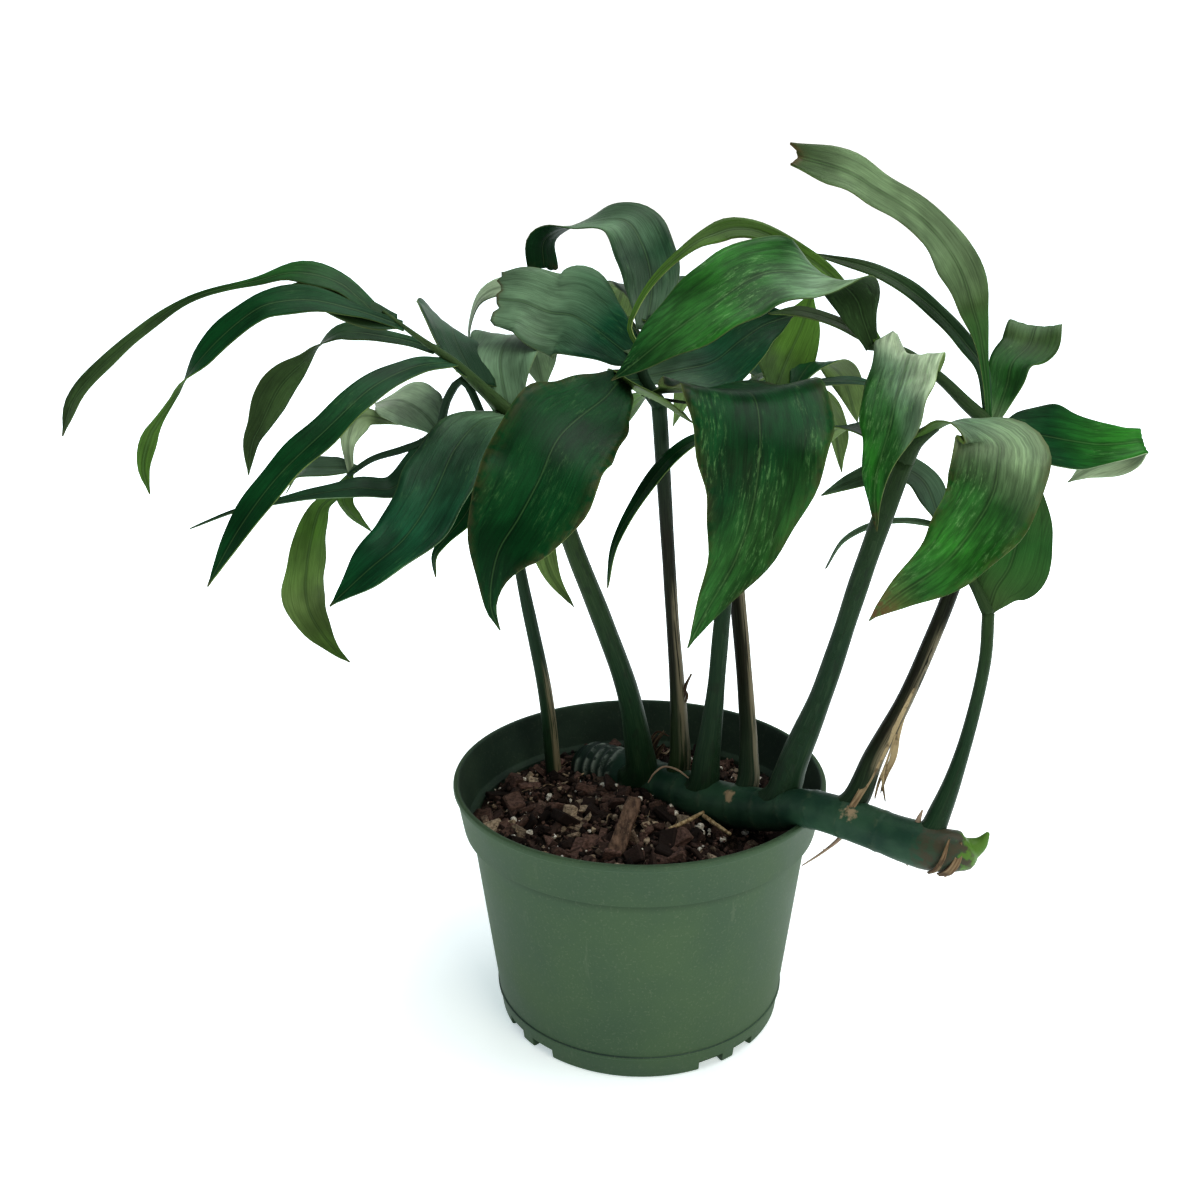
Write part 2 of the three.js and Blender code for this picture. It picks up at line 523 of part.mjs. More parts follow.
const pot = buildPot();
const petioleHoles = wasm.Manifold.union(Object.values(leaves).map((leaf) => (
  solidOf(tubeGeometry(leaf.petiole, leaf.petioleRadii, seatGap))
)));
const straws = straw.paths.map((path) => ({
  solid: solidOf(tubeGeometry(path, straw.radii)),
  hollow: solidOf(tubeGeometry(path, straw.radii, seatGap)),
}));
const hollows = [
  buildRhizome(seatGap),
  petioleHoles,
  solidOf(slabGeometry(seatGap)),
  ...straws.map(({ hollow }) => hollow),
];
const soil = wasm.Manifold.difference([buildSoil(), ...hollows]);
const rhizome = wasm.Manifold.difference([buildRhizome(), petioleHoles, rimCutter()]);

const group = new THREE.Group();
group.name = 'potted_dragon_tail_plant';
group.add(meshOf('pot', pot, colors.pot, 0.6));
group.add(meshOf('soil', soil, colors.soil, 0.95));
group.add(meshOf('rhizome', rhizome, colors.rhizome, 0.6));
for (const [name, leaf] of Object.entries(leaves)) {
  group.add(meshOf(name, buildLeaf(leaf), colors.leaf, 0.45));
}
group.add(meshOf('dry_sheath', buildSheath(), colors.sheath, 0.9));
group.add(meshOf('bark_slab', solidOf(slabGeometry()), colors.bark, 0.9));
straws.forEach(({ solid }, i) => group.add(meshOf(`straw_${i + 1}`, solid, colors.straw, 0.8)));

export default group;
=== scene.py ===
import math
import random
import bpy
import bmesh
from mathutils import Matrix, Vector, noise


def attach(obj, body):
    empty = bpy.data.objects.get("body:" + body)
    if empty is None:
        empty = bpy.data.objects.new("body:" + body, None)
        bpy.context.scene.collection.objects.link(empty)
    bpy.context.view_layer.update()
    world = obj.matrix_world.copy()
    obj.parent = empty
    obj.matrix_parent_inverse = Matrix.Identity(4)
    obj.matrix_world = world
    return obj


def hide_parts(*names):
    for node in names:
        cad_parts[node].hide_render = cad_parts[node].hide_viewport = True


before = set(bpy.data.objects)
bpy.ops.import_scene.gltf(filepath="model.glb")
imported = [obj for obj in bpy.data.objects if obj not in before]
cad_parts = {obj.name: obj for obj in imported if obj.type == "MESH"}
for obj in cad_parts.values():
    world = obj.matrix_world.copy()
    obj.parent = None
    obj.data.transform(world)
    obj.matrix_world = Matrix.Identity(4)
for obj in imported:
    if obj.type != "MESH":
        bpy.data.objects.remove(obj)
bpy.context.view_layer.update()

# Sizes are in metres, as in the frame; the leaves' table below is in millimetres.
MM = 0.001

# The camera, fitted to the pot's rim and foot.
CAMERA_PLACE = (0, -0.519, 0.3691)
CAMERA_PITCH = 18.66
CAMERA_YAW = 1.84
CAMERA_ROLL = 0.53
CAMERA_LENS = 38.6
SENSOR_WIDTH = 36

# The pot, in millimetres: pairs of radius and height, up the outside and down the inside.
POT_STEPS = 160
POT_PROFILE = [
    (0, 0), (61, 0), (62.8, 0.1), (63.8, 0.6), (64.15, 1.3), (65.2, 9.4), (65.35, 10), (65.9, 10.5),
    (65.93, 11), (65.95, 11.5), (65.45, 12), (65.5, 12.6), (74.9, 90.6), (75.1, 91.5), (75.5, 92),
    (77.9, 92.4), (78.4, 92.7), (78.6, 93.4), (81.3, 109.6), (81.6, 110.1), (82.2, 110.5), (82.45, 111.1),
    (82.4, 112.1), (82.1, 112.7), (81.5, 113), (80.5, 113), (80, 112.7), (79.75, 112), (79.65, 110),
    (77, 94), (76.5, 93), (73.6, 91.4), (73.3, 90.2), (63, 3), (62, 2), (0, 2),
]
SHARP_ANGLE = 32
FOOT_RADIUS = 64
DRAIN_WIDE = 12
DRAIN_DEEP = 9
DRAIN_HIGH = 5
DRAIN_ANGLES = [-61, -45, -148, -131, 165, 120, 75, 15]

# Which of the pot's faces are inside ones, which take a darker plastic as painted shade:
# how far they face inwards or up, and heights in metres.
INWARD_SHARE = 0.5
LEDGE_SLOPE = 0.3
LEDGE_TOP = 0.1
INSIDE_BOTTOM = 0.01

# The bark mix in the pot.
SOIL_EDGE = 72.9
SOIL_LEVEL = 91
SOIL_MOUND = 5
SOIL_FLOOR = 2.4
SOIL_STEPS = 128
SOIL_RINGS = 30
CHIP_COUNT = 1300
CHIP_SIZES = (2, 11)
CRUMB_COUNT = 2600
PERLITE_COUNT = 230
FIBRE_COUNT = 50

# The creeping stem: its path, its ring scars as shares of its length, and its thin dry roots.
RHIZOME_PATH = [
    (-26, 49, 93), (-22, 45, 93.5), (-7, 32, 96), (12, 15, 99), (29, -3, 101.5), (44, -15, 104),
    (58, -30, 110), (69, -43.5, 118), (83, -56, 120.5), (97, -67, 120), (110, -76, 119.5),
    (116, -79, 119.5), (121, -79.5, 119.5), (124.5, -79.5, 119.5), (127.5, -79, 120.5),
    (130.5, -79, 122.5), (133, -79, 127),
]
RHIZOME_RADII = [9.6, 11.6, 11.4, 9.6, 9.6, 9.6, 8.6, 8, 8.2, 8.4, 9, 8.4, 8, 7.4, 4.2, 2.8, 0.7]
PALE_RINGS = [0.025, 0.05, 0.072, 0.095, 0.115]
GREEN_RINGS = [0.2, 0.235, 0.3, 0.37, 0.44, 0.51, 0.585, 0.65, 0.72, 0.79]
RING_WIDTH = 1.1
DARK_END = 0.14
BUD_START = 0.878
TIP_START = 0.93
ROOTS = [
    {"path": [(83, -57, 117), (81, -57, 112.5), (78, -57.5, 109.5), (73, -57.5, 105), (66, -58, 100)],
     "radii": [1.5, 0.9, 0.6, 0.45, 0.25]},
    {"path": [(79, -57.5, 110), (77, -58, 108.5), (74, -58.5, 107.5)], "radii": [0.5, 0.35, 0.2]},
    {"path": [(104, -71, 116), (104, -71, 111), (105, -72, 108.5)], "radii": [1.1, 0.8, 0.3]},
    {"path": [(117, -79, 113), (117.5, -80, 110.5), (118, -80, 108.5)], "radii": [1.6, 1.2, 0.5]},
    {"path": [(107, -73, 126), (108, -73, 130.5), (109, -72.5, 133)], "radii": [1.4, 1, 0.4]},
    {"path": [(4, 3, 106), (7, 3, 111), (11, 4, 113.5), (17, 0, 114), (22, -4, 112)],
     "radii": [0.3, 0.5, 0.5, 0.5, 0.3]},
]

# Where the stem's skin is torn to tan, with the reach of each patch.
SCAR_PLACES = [((39, -19, 111.5), 2.6), ((82, -64, 127.5), 3.2)]

# Dry papery strips and curls: paths with widths and rolls.
SHEATH_STRIPS = [
    {"path": [(112, -36.5, 172), (106.5, -41, 162), (98.5, -47.5, 148), (90.5, -55, 136), (83, -62, 127)],
     "width": [0.6, 1.6, 2.2, 2.8, 2.4], "roll": [-35, -30, -30, -25, -20]},
    {"path": [(107, -40, 158), (104, -44, 151), (101.5, -48, 143), (99, -50, 137), (97, -52, 130)],
     "width": [0.6, 1.5, 2.4, 1.6, 0.5], "roll": [-60, -40, -30, -20, -30]},
    {"path": [(103, -44, 152), (99, -49, 142), (95.5, -52.5, 134), (94, -55, 129)],
     "width": [0.6, 0.9, 0.8, 0.4], "roll": [-30, -20, -10, -20]},
    {"path": [(100, -48, 144), (97.5, -51, 137), (97.5, -53, 132), (98.5, -54, 127)],
     "width": [0.5, 0.8, 0.7, 0.4], "roll": [-30, -20, 10, -20]},
]
BUD_STRIPS = [
    {"path": [(110, -84.5, 112.5), (112, -87.8, 116), (114, -88.8, 121), (116.5, -86.3, 128)],
     "width": [1, 1.8, 1.6, 0.6], "roll": [90, 85, 85, 80]},
    {"path": [(114, -84, 111.5), (117, -87.8, 115), (120, -87.6, 120), (121.5, -84.5, 126)],
     "width": [1.5, 3, 2.6, 0.8], "roll": [90, 85, 85, 80]},
]
DRY_CURLS = [
    {"path": [(19, 14, 139), (20, 13.5, 146), (21, 13, 150), (23, 13, 154.5)],
     "width": [0.8, 1.8, 1.4, 0.6], "roll": [60, 80, 60, 70]},
    {"path": [(20, 13.5, 148), (21.5, 13, 144), (21, 13, 141)],
     "width": [0.6, 1.2, 0.6], "roll": [60, 80, 60]},
    {"path": [(4, 49, 89), (5, 49, 97), (8, 49, 105), (12, 49, 110)],
     "width": [1.5, 3, 3, 1], "roll": [90, 75, 90]},
    {"path": [(7, 48, 92), (8, 48, 98), (12, 48, 104)], "width": [1.5, 3.4, 1], "roll": [90, 50, 90]},
    {"path": [(2, 49, 96), (5, 49, 104), (9, 49, 110), (14, 49, 108)],
     "width": [0.8, 1.6, 1.2, 0.5], "roll": [90, 90, 90]},
]

# The slab of bark and the straws.
SLAB_SIZE = (8, 4, 31)
SLAB_TAPER = 0.75
SLAB_CENTRE = (-6, -28, 101)
SLAB_LEAN = -66
SLAB_TURN = -17
STRAW_RADII = [0.9, 0.9, 0.7]
STRAW_PATHS = [
    [(13, -26, 98.5), (21, -20, 99.5), (29, -14, 101)],
    [(28, -17, 100.5), (33, -23, 99.5), (39, -30, 98.5)],
]

# Blades: 0.5 mm thick, folded into a shallow V at the midvein, and the broad ones pleated along side veins.
BLADE_THICKNESS = 0.5
BLADE_FOLD = 0.14
BLADE_ROWS = 48
BLADE_COLUMNS = 12
NARROW_COLUMNS = 8
NARROW_BLADE = 12
PLEATED_BLADE = 18
PLEAT_PLACES = (-0.62, -0.32, 0.32, 0.62)
PLEAT_DEPTH = 0.35
PLEAT_WIDTH = 0.09
WAVE_LENGTH = 0.034
FULL_TEAR_LENGTH = 0.06
RIB_POINTS = 200
SEED_STEP = 0.37
NO_STRIP = (0, 0, 0, 1, 0)

# Colours seen in daylight, as red, green and blue from 0 to 255. Grey, sage and silver on the
# upper side of some lobes, at their crests, also stand for painted sheen.
TONES = {
    "deep": (8, 50, 22),
    "teal": (20, 64, 42),
    "slate": (38, 66, 46),
    "dusk": (50, 70, 38),
    "sage": (94, 114, 84),
    "grey": (86, 110, 86),
    "silver": (134, 150, 124),
    "fern": (34, 74, 32),
    "bright": (36, 92, 30),
    "moss": (64, 94, 36),
    "olive": (88, 108, 62),
    "straw_green": (124, 138, 84),
    "bottle": (26, 50, 32),
    "moss_dark": (40, 60, 32),
    "umber": (26, 26, 18),
    "husk": (160, 146, 116),
    "brown": (84, 64, 46),
    "bark": (52, 38, 32),
}

# Every leaf: its stalk and midrib as points with radii and tones, and its lobes. Strip is a dry pale strip
# on a stalk: the side that it faces, where it starts and ends, and how strong it is.


def lobe(at, streaks, upper, under, path, width, roll, **extras):
    """One lobe, which starts on the midrib at a share of its length and is as wide as given along its path.

    Tones run from the root to the tip, on the upper side and the underside. Roll is in degrees, and a
    positive one dips the right edge. Of the extras, torn and crest run from the left to the right edge:
    torn is how far the end is torn out and crest how far the start is raised, in millimetres. Brown is how
    worn the edges are, tip how brown the end is, lean how far the tones slant and wave how wavy the edges
    are.
    """
    return {
        "at": at, "streaks": streaks, "upper": upper.split(), "under": under.split(), "path": path,
        "width": width, "roll": roll, **extras,
    }


LEAVES = {
    "leaf_1": {
        "stalk": ["bottle", "bottle"],
        "strip": [0.9, -0.43, 0, 0.3, 0.8],
        "petiole": [(-40, 41, 84), (-41, 40, 94), (-44, 37, 135), (-52, 36, 184), (-61, 40, 235),
            (-70, 44, 266), (-78, 47, 280), (-85, 49, 272), (-89, 50, 259)],
        "petiole_radii": [3.8, 3.6, 3.3, 3, 2.6, 2.1, 1.8, 1.8, 2],
        "midrib": [(-89, 50, 259), (-97, 51, 252), (-107, 52, 248), (-122, 54, 243), (-133, 53, 236)],
        "midrib_radii": [2, 1.8, 1.7, 1.5, 1.3],
        "lobes": {
            "pale_up": lobe(0.04, 0.2, "grey silver", "grey silver",
                [(-98, 62, 262), (-112, 82, 265), (-128, 98, 261)],
                [8, 22, 27, 22, 1.2], [-35, -25]),
            "pale_curled": lobe(0.97, 0.1, "silver olive", "silver olive",
                [(-134, 62, 250), (-131, 80, 258), (-115, 92, 252)],
                [3, 7, 14, 13, 1.2], [60, 40]),
            "long_dark": lobe(0.2, 0.1, "slate deep", "grey",
                [(-110, 42, 233), (-126, 36, 234), (-153, 30, 231), (-177, 24, 227), (-197, 20, 220)],
                [6, 14, 15, 12, 7, 4, 2.5, 1.2], [-35, -25]),
            "hanging": lobe(0.97, 0.2, "moss dusk moss moss", "dusk moss olive moss",
                [(-142, 58, 225), (-149, 60, 219), (-158, 62, 191), (-160, 62, 176), (-158, 61, 165),
                    (-147, 59, 148), (-140, 58, 142)],
                [2.5, 5.5, 9, 15, 19, 22, 23, 17, 7.5, 1.2], [35, 35, 25, 20, 15, 15]),
            "left": lobe(0.9, 0.1, "grey slate", "moss",
                [(-145, 60, 238), (-158, 68, 235), (-168, 72, 223)],
                [4, 13, 14, 10, 1.2], [-30, -30]),
            "small": lobe(0.97, 0, "moss", "moss",
                [(-137, 58, 223), (-134, 62, 215), (-127, 66, 206)],
                [3, 9, 9, 1.2], [0, 0]),
        },
    },
    "leaf_2": {
        "stalk": ["bottle", "bottle", "moss_dark", "dusk"],
        "strip": [0, -1, 0, 1, 0],
        "petiole": [(-3, 22, 98), (1, 17, 105), (0, 14, 117), (-5, 8, 148), (-15, 5, 180), (-26, 3, 211),
            (-40, 4, 250), (-52, 8, 271)],
        "petiole_radii": [8, 6.2, 4.9, 4.5, 4.3, 4, 3.7, 3.4],
        "midrib": [(-52, 8, 271), (-61, 6, 280), (-74, 0, 294), (-87, -6, 305), (-100, -10, 316)],
        "midrib_radii": [3.4, 2.7, 1.9, 1.2, 0.7],
        "lobes": {
            "top_ribbon": lobe(0.9, 0.25, "slate fern dusk dusk", "dusk dusk",
                [(-101, -11, 314), (-116, -12, 327), (-133, -12, 331), (-148, -12, 328), (-170, -11, 323),
                    (-180, -10, 319), (-199, -8, 307), (-217, -8, 293), (-228, -9, 281),
                    (-234, -10, 267)],
                [5.5, 9, 11, 13, 7, 3.5, 3, 4, 5.5, 6.5, 7.5, 7.5, 7.5, 1.2],
                [-35, -40, -50, -55, -60, -70]),
            "second_ribbon": lobe(0.86, 0.15, "slate deep deep dusk", "dusk dusk moss",
                [(-110, -20, 318), (-125, -26, 322), (-139, -32, 321), (-145, -35, 318), (-156, -41, 309),
                    (-166, -46, 298), (-173, -49, 288), (-179, -50, 280), (-182, -51, 275),
                    (-185, -53, 264), (-183, -55, 254)],
                [5, 5, 6, 10, 13, 14, 13, 12, 12, 12, 9, 3, 3.5, 6.5, 5, 1.2],
                [-45, -45, -40, -25, 80, 140]),
            "web": lobe(0.9, 0.1, "slate dusk dusk", "dusk",
                [(-108, -15, 316), (-120, -18, 322), (-131, -20, 324.5), (-140, -21, 324)],
                [7, 14, 15, 13, 9, 1.2], [-45, -45, -45]),
            "third": lobe(0.62, 0.1, "slate dusk", "dusk dusk",
                [(-94, 3, 303), (-114, 5, 306), (-121, 5, 306), (-131, 4, 300), (-135, 3, 296),
                    (-144, 2, 288), (-148, 1, 283), (-155, -1, 270), (-159, -2, 263), (-162, -2, 249)],
                [5, 5, 6, 7.5, 12, 12, 9, 14, 18, 17, 11, 6, 1.2], [-35, -40, -15, 45, 40, 35]),
            "long_front": lobe(0.5, 0.25, "slate deep deep", "olive",
                [(-87, -22, 296), (-100, -38, 291), (-115, -56, 278), (-130, -70, 264), (-142, -82, 248),
                    (-153, -90, 229)],
                [6, 9, 11, 13, 14, 14, 13, 9, 1.2], [-30, -20, -10]),
            "dark_back": lobe(0.32, 0.1, "slate deep", "olive",
                [(-77, 22, 301), (-81, 46, 303), (-84, 72, 297), (-84, 96, 286)],
                [22, 38, 38, 26, 1.2], [40, 40]),
            "broad_back": lobe(0.04, 0.3, "grey grey slate", "sage",
                [(-58, 20, 292), (-55, 46, 299), (-50, 80, 292), (-46, 106, 265)],
                [12, 32, 36, 34, 20, 1.2], [0, 0]),
            # Painted sheen: the grey at the start of the upper side stands for light on the crest.
            "broad_front": lobe(0.02, 0.5, "grey slate teal deep", "grey",
                [(-63, -12, 273), (-71, -30, 266), (-78, -50, 251), (-87, -66, 239), (-98, -76, 231),
                    (-112, -82, 219)],
                [8, 18, 26, 30, 29, 26, 18, 1.2], [-10, -5]),
            "hooked": lobe(0, 0, "deep", "olive",
                [(-67, 0, 250), (-70, -8, 236), (-80, -14, 224), (-84, -16, 218), (-84, -16, 209)],
                [4, 12, 16, 12, 5, 1.2], [-20, -20]),
            "yellow_tip": lobe(0, 0, "olive olive straw_green", "olive",
                [(-49, 26, 251), (-44, 28, 217), (-39, 26, 197), (-29, 22, 183)],
                [5, 14, 15, 10, 1.2], [-60, -60]),
        },
    },
    "leaf_3": {
        "stalk": ["moss_dark", "umber", "umber", "bottle"],
        "strip": [0.75, -0.66, 0, 0.55, 0.6],
        "petiole": [(14, 14, 101), (18, 12, 109), (18, 14, 130), (14, 18, 188), (9, 10, 262),
            (8, 8, 276)],
        "petiole_radii": [5.5, 3.9, 3, 2.9, 3.1, 3.3],
        "midrib": [(8, 8, 276), (1, 3, 288), (0, 4, 299), (5, 12, 311)],
        "midrib_radii": [3.4, 3, 2.2, 1.5],
        "lobes": {
            "broad_left": lobe(0.33, 0.35, "slate deep deep deep", "olive",
                [(-7, -14, 289), (-13, -34, 286), (-29, -68, 277), (-35, -80, 265), (-42, -88, 253),
                    (-49, -92, 242), (-52, -94, 223), (-49, -94, 214)],
                [5.5, 10, 20, 32, 40, 42, 41, 30, 9, 1.2], [-70, -35, -35, -20, -20, -35], brown=0.35),
            "torn_left": lobe(0.5, 0.4, "slate teal grey grey", "sage",
                [(-9, 14, 299), (-18, 20, 305), (-28, 26, 310), (-38, 30, 311), (-49, 33, 315),
                    (-60, 35, 316)],
                [8, 15, 20, 28, 36, 42, 36, 33, 30, 24],
                [-40, -55, -50, -55, -50, -55], torn=[-1, 1, -1.5, 0.5, -1, 1.5, 0]),
            "top_arch": lobe(0.85, 0.3, "grey slate grey grey", "sage slate deep",
                [(5, 24, 323), (1, 36, 338), (-6, 44, 347), (-22, 52, 346), (-35, 58, 343),
                    (-42, 61, 338), (-42, 61, 326)],
                [8, 19, 25, 25, 23, 22, 19, 16], [-45, -40, -30, 0, 30], torn=[0, 0.6, -0.6, 0.6, 0]),
            "hanging": lobe(0.15, 0.8, "bottle deep deep deep fern fern", "olive",
                [(22, -18, 286), (35, -42, 290), (41, -60, 290), (42, -76, 276), (39, -84, 255),
                    (33, -90, 238), (23, -95, 221), (17, -98, 209)],
                [6, 20, 44, 56, 56, 49, 38, 24, 11, 1.2], [0, 0], brown=0.25, lean=-0.12),
            "teal_right": lobe(0.35, 0.3, "grey teal deep", "olive",
                [(17, 22, 288), (31, 30, 290), (43, 36, 298), (53, 40, 304), (66, 42, 308)],
                [8, 10, 17, 24, 31, 30, 27, 22, 15, 1.2], [50, 50, 50, 40, 40, 45]),
            "pale_back": lobe(0.6, 0, "sage silver", "sage silver",
                [(-17, 58, 305), (-40, 74, 312), (-61, 82, 317), (-73, 86, 312), (-79, 88, 299),
                    (-80, 88, 290)],
                [6.8, 13.6, 15.3, 15.3, 13.6, 10.2, 2], [-30, -30]),
            "back_right": lobe(0.95, 0.2, "deep", "olive",
                [(20, 48, 320), (36, 82, 316), (46, 114, 286)],
                [6, 20, 25, 19, 1.2], [0, 0]),
            "back_left": lobe(0.95, 0.2, "deep", "olive",
                [(2, 52, 318), (-8, 92, 314), (-14, 126, 282)],
                [6, 20, 24, 18, 1.2], [0, 0]),
            "fold": lobe(0.05, 0.2, "sage grey sage", "moss olive",
                [(-1, -2, 283), (5, -16, 283), (20, -30, 276)],
                [17, 27.2, 28.9, 23.8, 6.8], [-50, -60]),
        },
    },
    "leaf_4": {
        "stalk": ["bottle", "bottle"],
        "strip": [0, -1, 0, 1, 0],
        "petiole": [(22, 4, 101.5), (28, -3, 107), (30, -2, 122), (33, 2, 147), (36, 8, 184),
            (40, 16, 225), (42, 20, 262)],
        "petiole_radii": [7.6, 5.6, 3.9, 3.6, 3.5, 3.3, 3.1],
        "midrib": [(42, 20, 262), (49, 24, 272), (60, 34, 277), (70, 42, 278)],
        "midrib_radii": [3.1, 2.6, 2, 1.4],
        "lobes": {
            "dark_left": lobe(0, 0, "deep", "olive",
                [(25, 6, 262), (13, -2, 256), (0, -12, 241), (-10, -20, 224), (-13, -24, 207)],
                [5, 9, 11, 9, 7, 4, 1.2], [0, 0]),
            "yellow_up": lobe(0.6, 0.1, "dusk moss", "dusk moss moss",
                [(65, 56, 287), (72, 66, 300), (77, 72, 315)],
                [6, 24, 27, 20, 1.2], [-135, -135]),
            "strap": lobe(1, 0, "slate", "olive",
                [(85, 52, 278), (101, 60, 276), (118, 68, 268)],
                [3, 5, 6, 5, 1.2], [30, 30]),
            "back": lobe(0.9, 0.2, "deep", "olive",
                [(78, 62, 285), (94, 86, 276), (106, 104, 250)],
                [5, 18, 21, 16, 1.2], [0, 0]),
        },
    },
    "leaf_5": {
        "stalk": ["bottle", "umber", "umber", "moss_dark"],
        "strip": [0.9, -0.43, 0, 1, 0.7],
        "petiole": [(42, -13, 105), (47, -12, 112), (48, -4, 126), (46, 18, 163), (44, 28, 184),
            (41, 42, 220), (40, 58, 252)],
        "petiole_radii": [5.5, 4, 3.5, 3.6, 3.6, 3.3, 2.8],
        "midrib": [(40, 58, 252), (44, 72, 264), (53, 90, 272), (60, 106, 273)],
        "midrib_radii": [2.8, 2.3, 1.8, 1.3],
        "lobes": {
            "left": lobe(0.3, 0.1, "deep", "moss",
                [(22, 90, 268), (0, 108, 262), (-16, 118, 236), (-22, 120, 212)],
                [5, 20, 27, 23, 12, 1.2], [0, 0]),
            "right": lobe(0.55, 0.1, "deep", "olive",
                [(74, 98, 270), (94, 112, 252), (102, 118, 222)],
                [5, 18, 23, 16, 1.2], [0, 0]),
            "back_left": lobe(0.9, 0.2, "deep", "olive",
                [(46, 134, 278), (30, 156, 266), (18, 168, 236)],
                [5, 19, 24, 18, 1.2], [0, 0]),
            "back": lobe(1, 0.2, "deep", "olive",
                [(66, 132, 274), (70, 156, 256), (68, 168, 226)],
                [5, 18, 23, 17, 1.2], [0, 0]),
        },
    },
    "leaf_6": {
        "stalk": ["bottle", "bottle", "moss_dark"],
        "strip": [0, -1, 0, 1, 0],
        "petiole": [(54, -25, 108), (60, -30, 117), (64.5, -29, 132), (75, -30, 164), (89, -35, 222),
            (100, -38, 262)],
        "petiole_radii": [7.8, 6, 4.5, 4.1, 4.1, 3.9],
        "midrib": [(100, -38, 262), (103, -41, 270), (109, -46, 277)],
        "midrib_radii": [3.9, 3.2, 2.2],
        "lobes": {
            # Painted sheen: the grey and sage near the start of the upper side stand for light on the crest.
            "front": lobe(0.6, 0.9, "slate grey sage fern bright fern olive", "moss",
                [(114, -53, 280), (127, -64, 275), (126, -72, 269), (123, -79, 259), (109, -90, 242),
                    (100, -94, 235), (90, -97, 229), (82, -99, 223), (79, -100, 220)],
                [8, 16, 28, 34, 33, 30, 25, 18, 10, 1.2], [45, 45, 70, 73, 70, 60, 60], brown=0.3, tip=1),
            "left_back": lobe(0.15, 0.1, "deep", "olive",
                [(92, -14, 268), (82, 6, 267), (74, 20, 252)],
                [4, 16, 20, 16, 1.2], [0, 0]),
        },
    },
    "leaf_7": {
        "stalk": ["bottle", "umber", "umber", "umber", "moss_dark"],
        "strip": [0.72, -0.69, 0.15, 0.55, 0.7],
        "petiole": [(78, -53, 120), (86, -54, 127), (94.5, -46, 143), (107.5, -36, 164), (125, -26, 207),
            (134, -18, 236), (139, -10, 262)],
        "petiole_radii": [6, 4.4, 3.4, 3.2, 3.1, 3, 3],
        "midrib": [(139, -10, 262), (139, -8, 269), (129, -6, 279), (118, -6, 289), (103, -4, 299),
            (91, 0, 300)],
        "midrib_radii": [3, 2.9, 2.5, 2.1, 1.8, 1.5],
        "lobes": {
            # Painted highlight: the sage and grey early on the upper side stand for a glossy patch of light.
            "streaked": lobe(0.98, 1, "fern sage grey fern bright fern deep", "moss_dark",
                [(87, -4, 312), (84, -8, 319), (73, -20, 328), (50, -34, 332), (40, -41, 330),
                    (31, -47, 325), (12, -56, 313), (-4, -61, 301), (-10, -62, 297)],
                [6, 15, 23, 25, 29, 30, 29, 24, 13, 1.2], [85, 40, -35, -30, -25, -25], lean=0.1),
            "curled_thin": lobe(0.92, 0, "moss", "moss olive straw_green",
                [(79, 10, 324), (68, 14, 333), (47, 13, 344), (37, 12, 345), (30, 10, 343), (22, 7, 340),
                    (8, 0, 329), (2, -4, 322), (-2, -8, 315), (-4, -11, 309), (1, -16, 301),
                    (6, -18, 299)],
                [3, 5, 6, 7, 7.5, 8, 9, 10, 6, 4, 3, 2.5, 2, 1.2], [-65, -70, -70, -55, -45, -20]),
            # The run of sage on the upper side is partly the leaf's own pale tone, partly painted sheen on
            # the crest.
            "tall": lobe(0.1, 0.25, "fern fern dusk sage sage sage dusk", "olive",
                [(137, -6, 286), (134, 0, 306), (132, 3, 313), (126, 8, 330), (112, 10, 347),
                    (91, 8, 360), (80, 6, 366), (59, 2, 372)],
                [2.5, 2.5, 5.5, 14, 19, 16, 14, 16, 16, 9],
                [-65, -65, -65, -65, -60, -60], torn=[1, 0, -1.5, 0, 2.5]),
            "narrow_arch": lobe(0.12, 0, "slate dusk", "olive",
                [(137, 2, 291), (132, 8, 299), (118, 18, 314), (100, 26, 326), (71, 34, 334)],
                [3, 5, 7.5, 7.5, 7, 5, 1.2], [-50, -50]),
            "dark_arch": lobe(0.94, 0, "dusk", "olive",
                [(81, 6, 308), (64, 8, 313), (52, 12, 312)],
                [3, 6, 7, 6, 1.2], [-30, -30]),
            # The silver and grey at the start of the upper side are partly painted sheen on the raised crest.
            "torn_hanging": lobe(0.74, 0.9, "silver silver grey fern fern bright deep", "olive",
                [(103, -20, 299), (99, -30, 292), (95, -40, 285), (92, -48, 277), (86, -58, 260),
                    (86, -60, 250), (87, -61, 241)],
                [24, 27, 27, 26, 25, 23, 16, 10, 4.5, 1.2],
                [10, 10], crest=[-9, -3.5, -1, 2, 10, 7], tip=0.5, lean=0.25),
            "folded_up": lobe(0.1, 0.5, "sage fern fern dusk grey", "moss",
                [(144, -2, 276), (148, 4, 284), (151, 10, 292), (159, 17, 298), (163, 24, 305),
                    (167, 32, 300)],
                [3.5, 6.5, 10, 14, 17, 21, 23, 22, 20, 15], [0, -5, -5, 10, 10, 10]),
            "folded_right": lobe(0.06, 0.7, "slate deep bright fern", "grey silver silver",
                [(153, 4, 265), (161, 10, 263), (182, 18, 258), (194, 21, 256), (206, 24, 256),
                    (214, 26, 256), (211, 28, 250), (192, 26, 244), (183, 24, 239)],
                [3, 9, 20, 28, 24, 17, 14, 16, 10, 1.2], [45, 60, 65, 60, 10, -45]),
            "back": lobe(0.04, 0.2, "deep", "olive",
                [(156, 24, 252), (168, 50, 232), (168, 66, 200)],
                [4, 18, 22, 18, 1.2], [0, 0]),
        },
    },
    "leaf_8": {
        "stalk": ["bottle", "bottle", "moss_dark"],
        "strip": [0, -1, 0, 1, 0],
        "petiole": [(104, -72, 121.5), (111, -75, 124), (117, -71, 134), (126, -62, 157), (132, -57, 189),
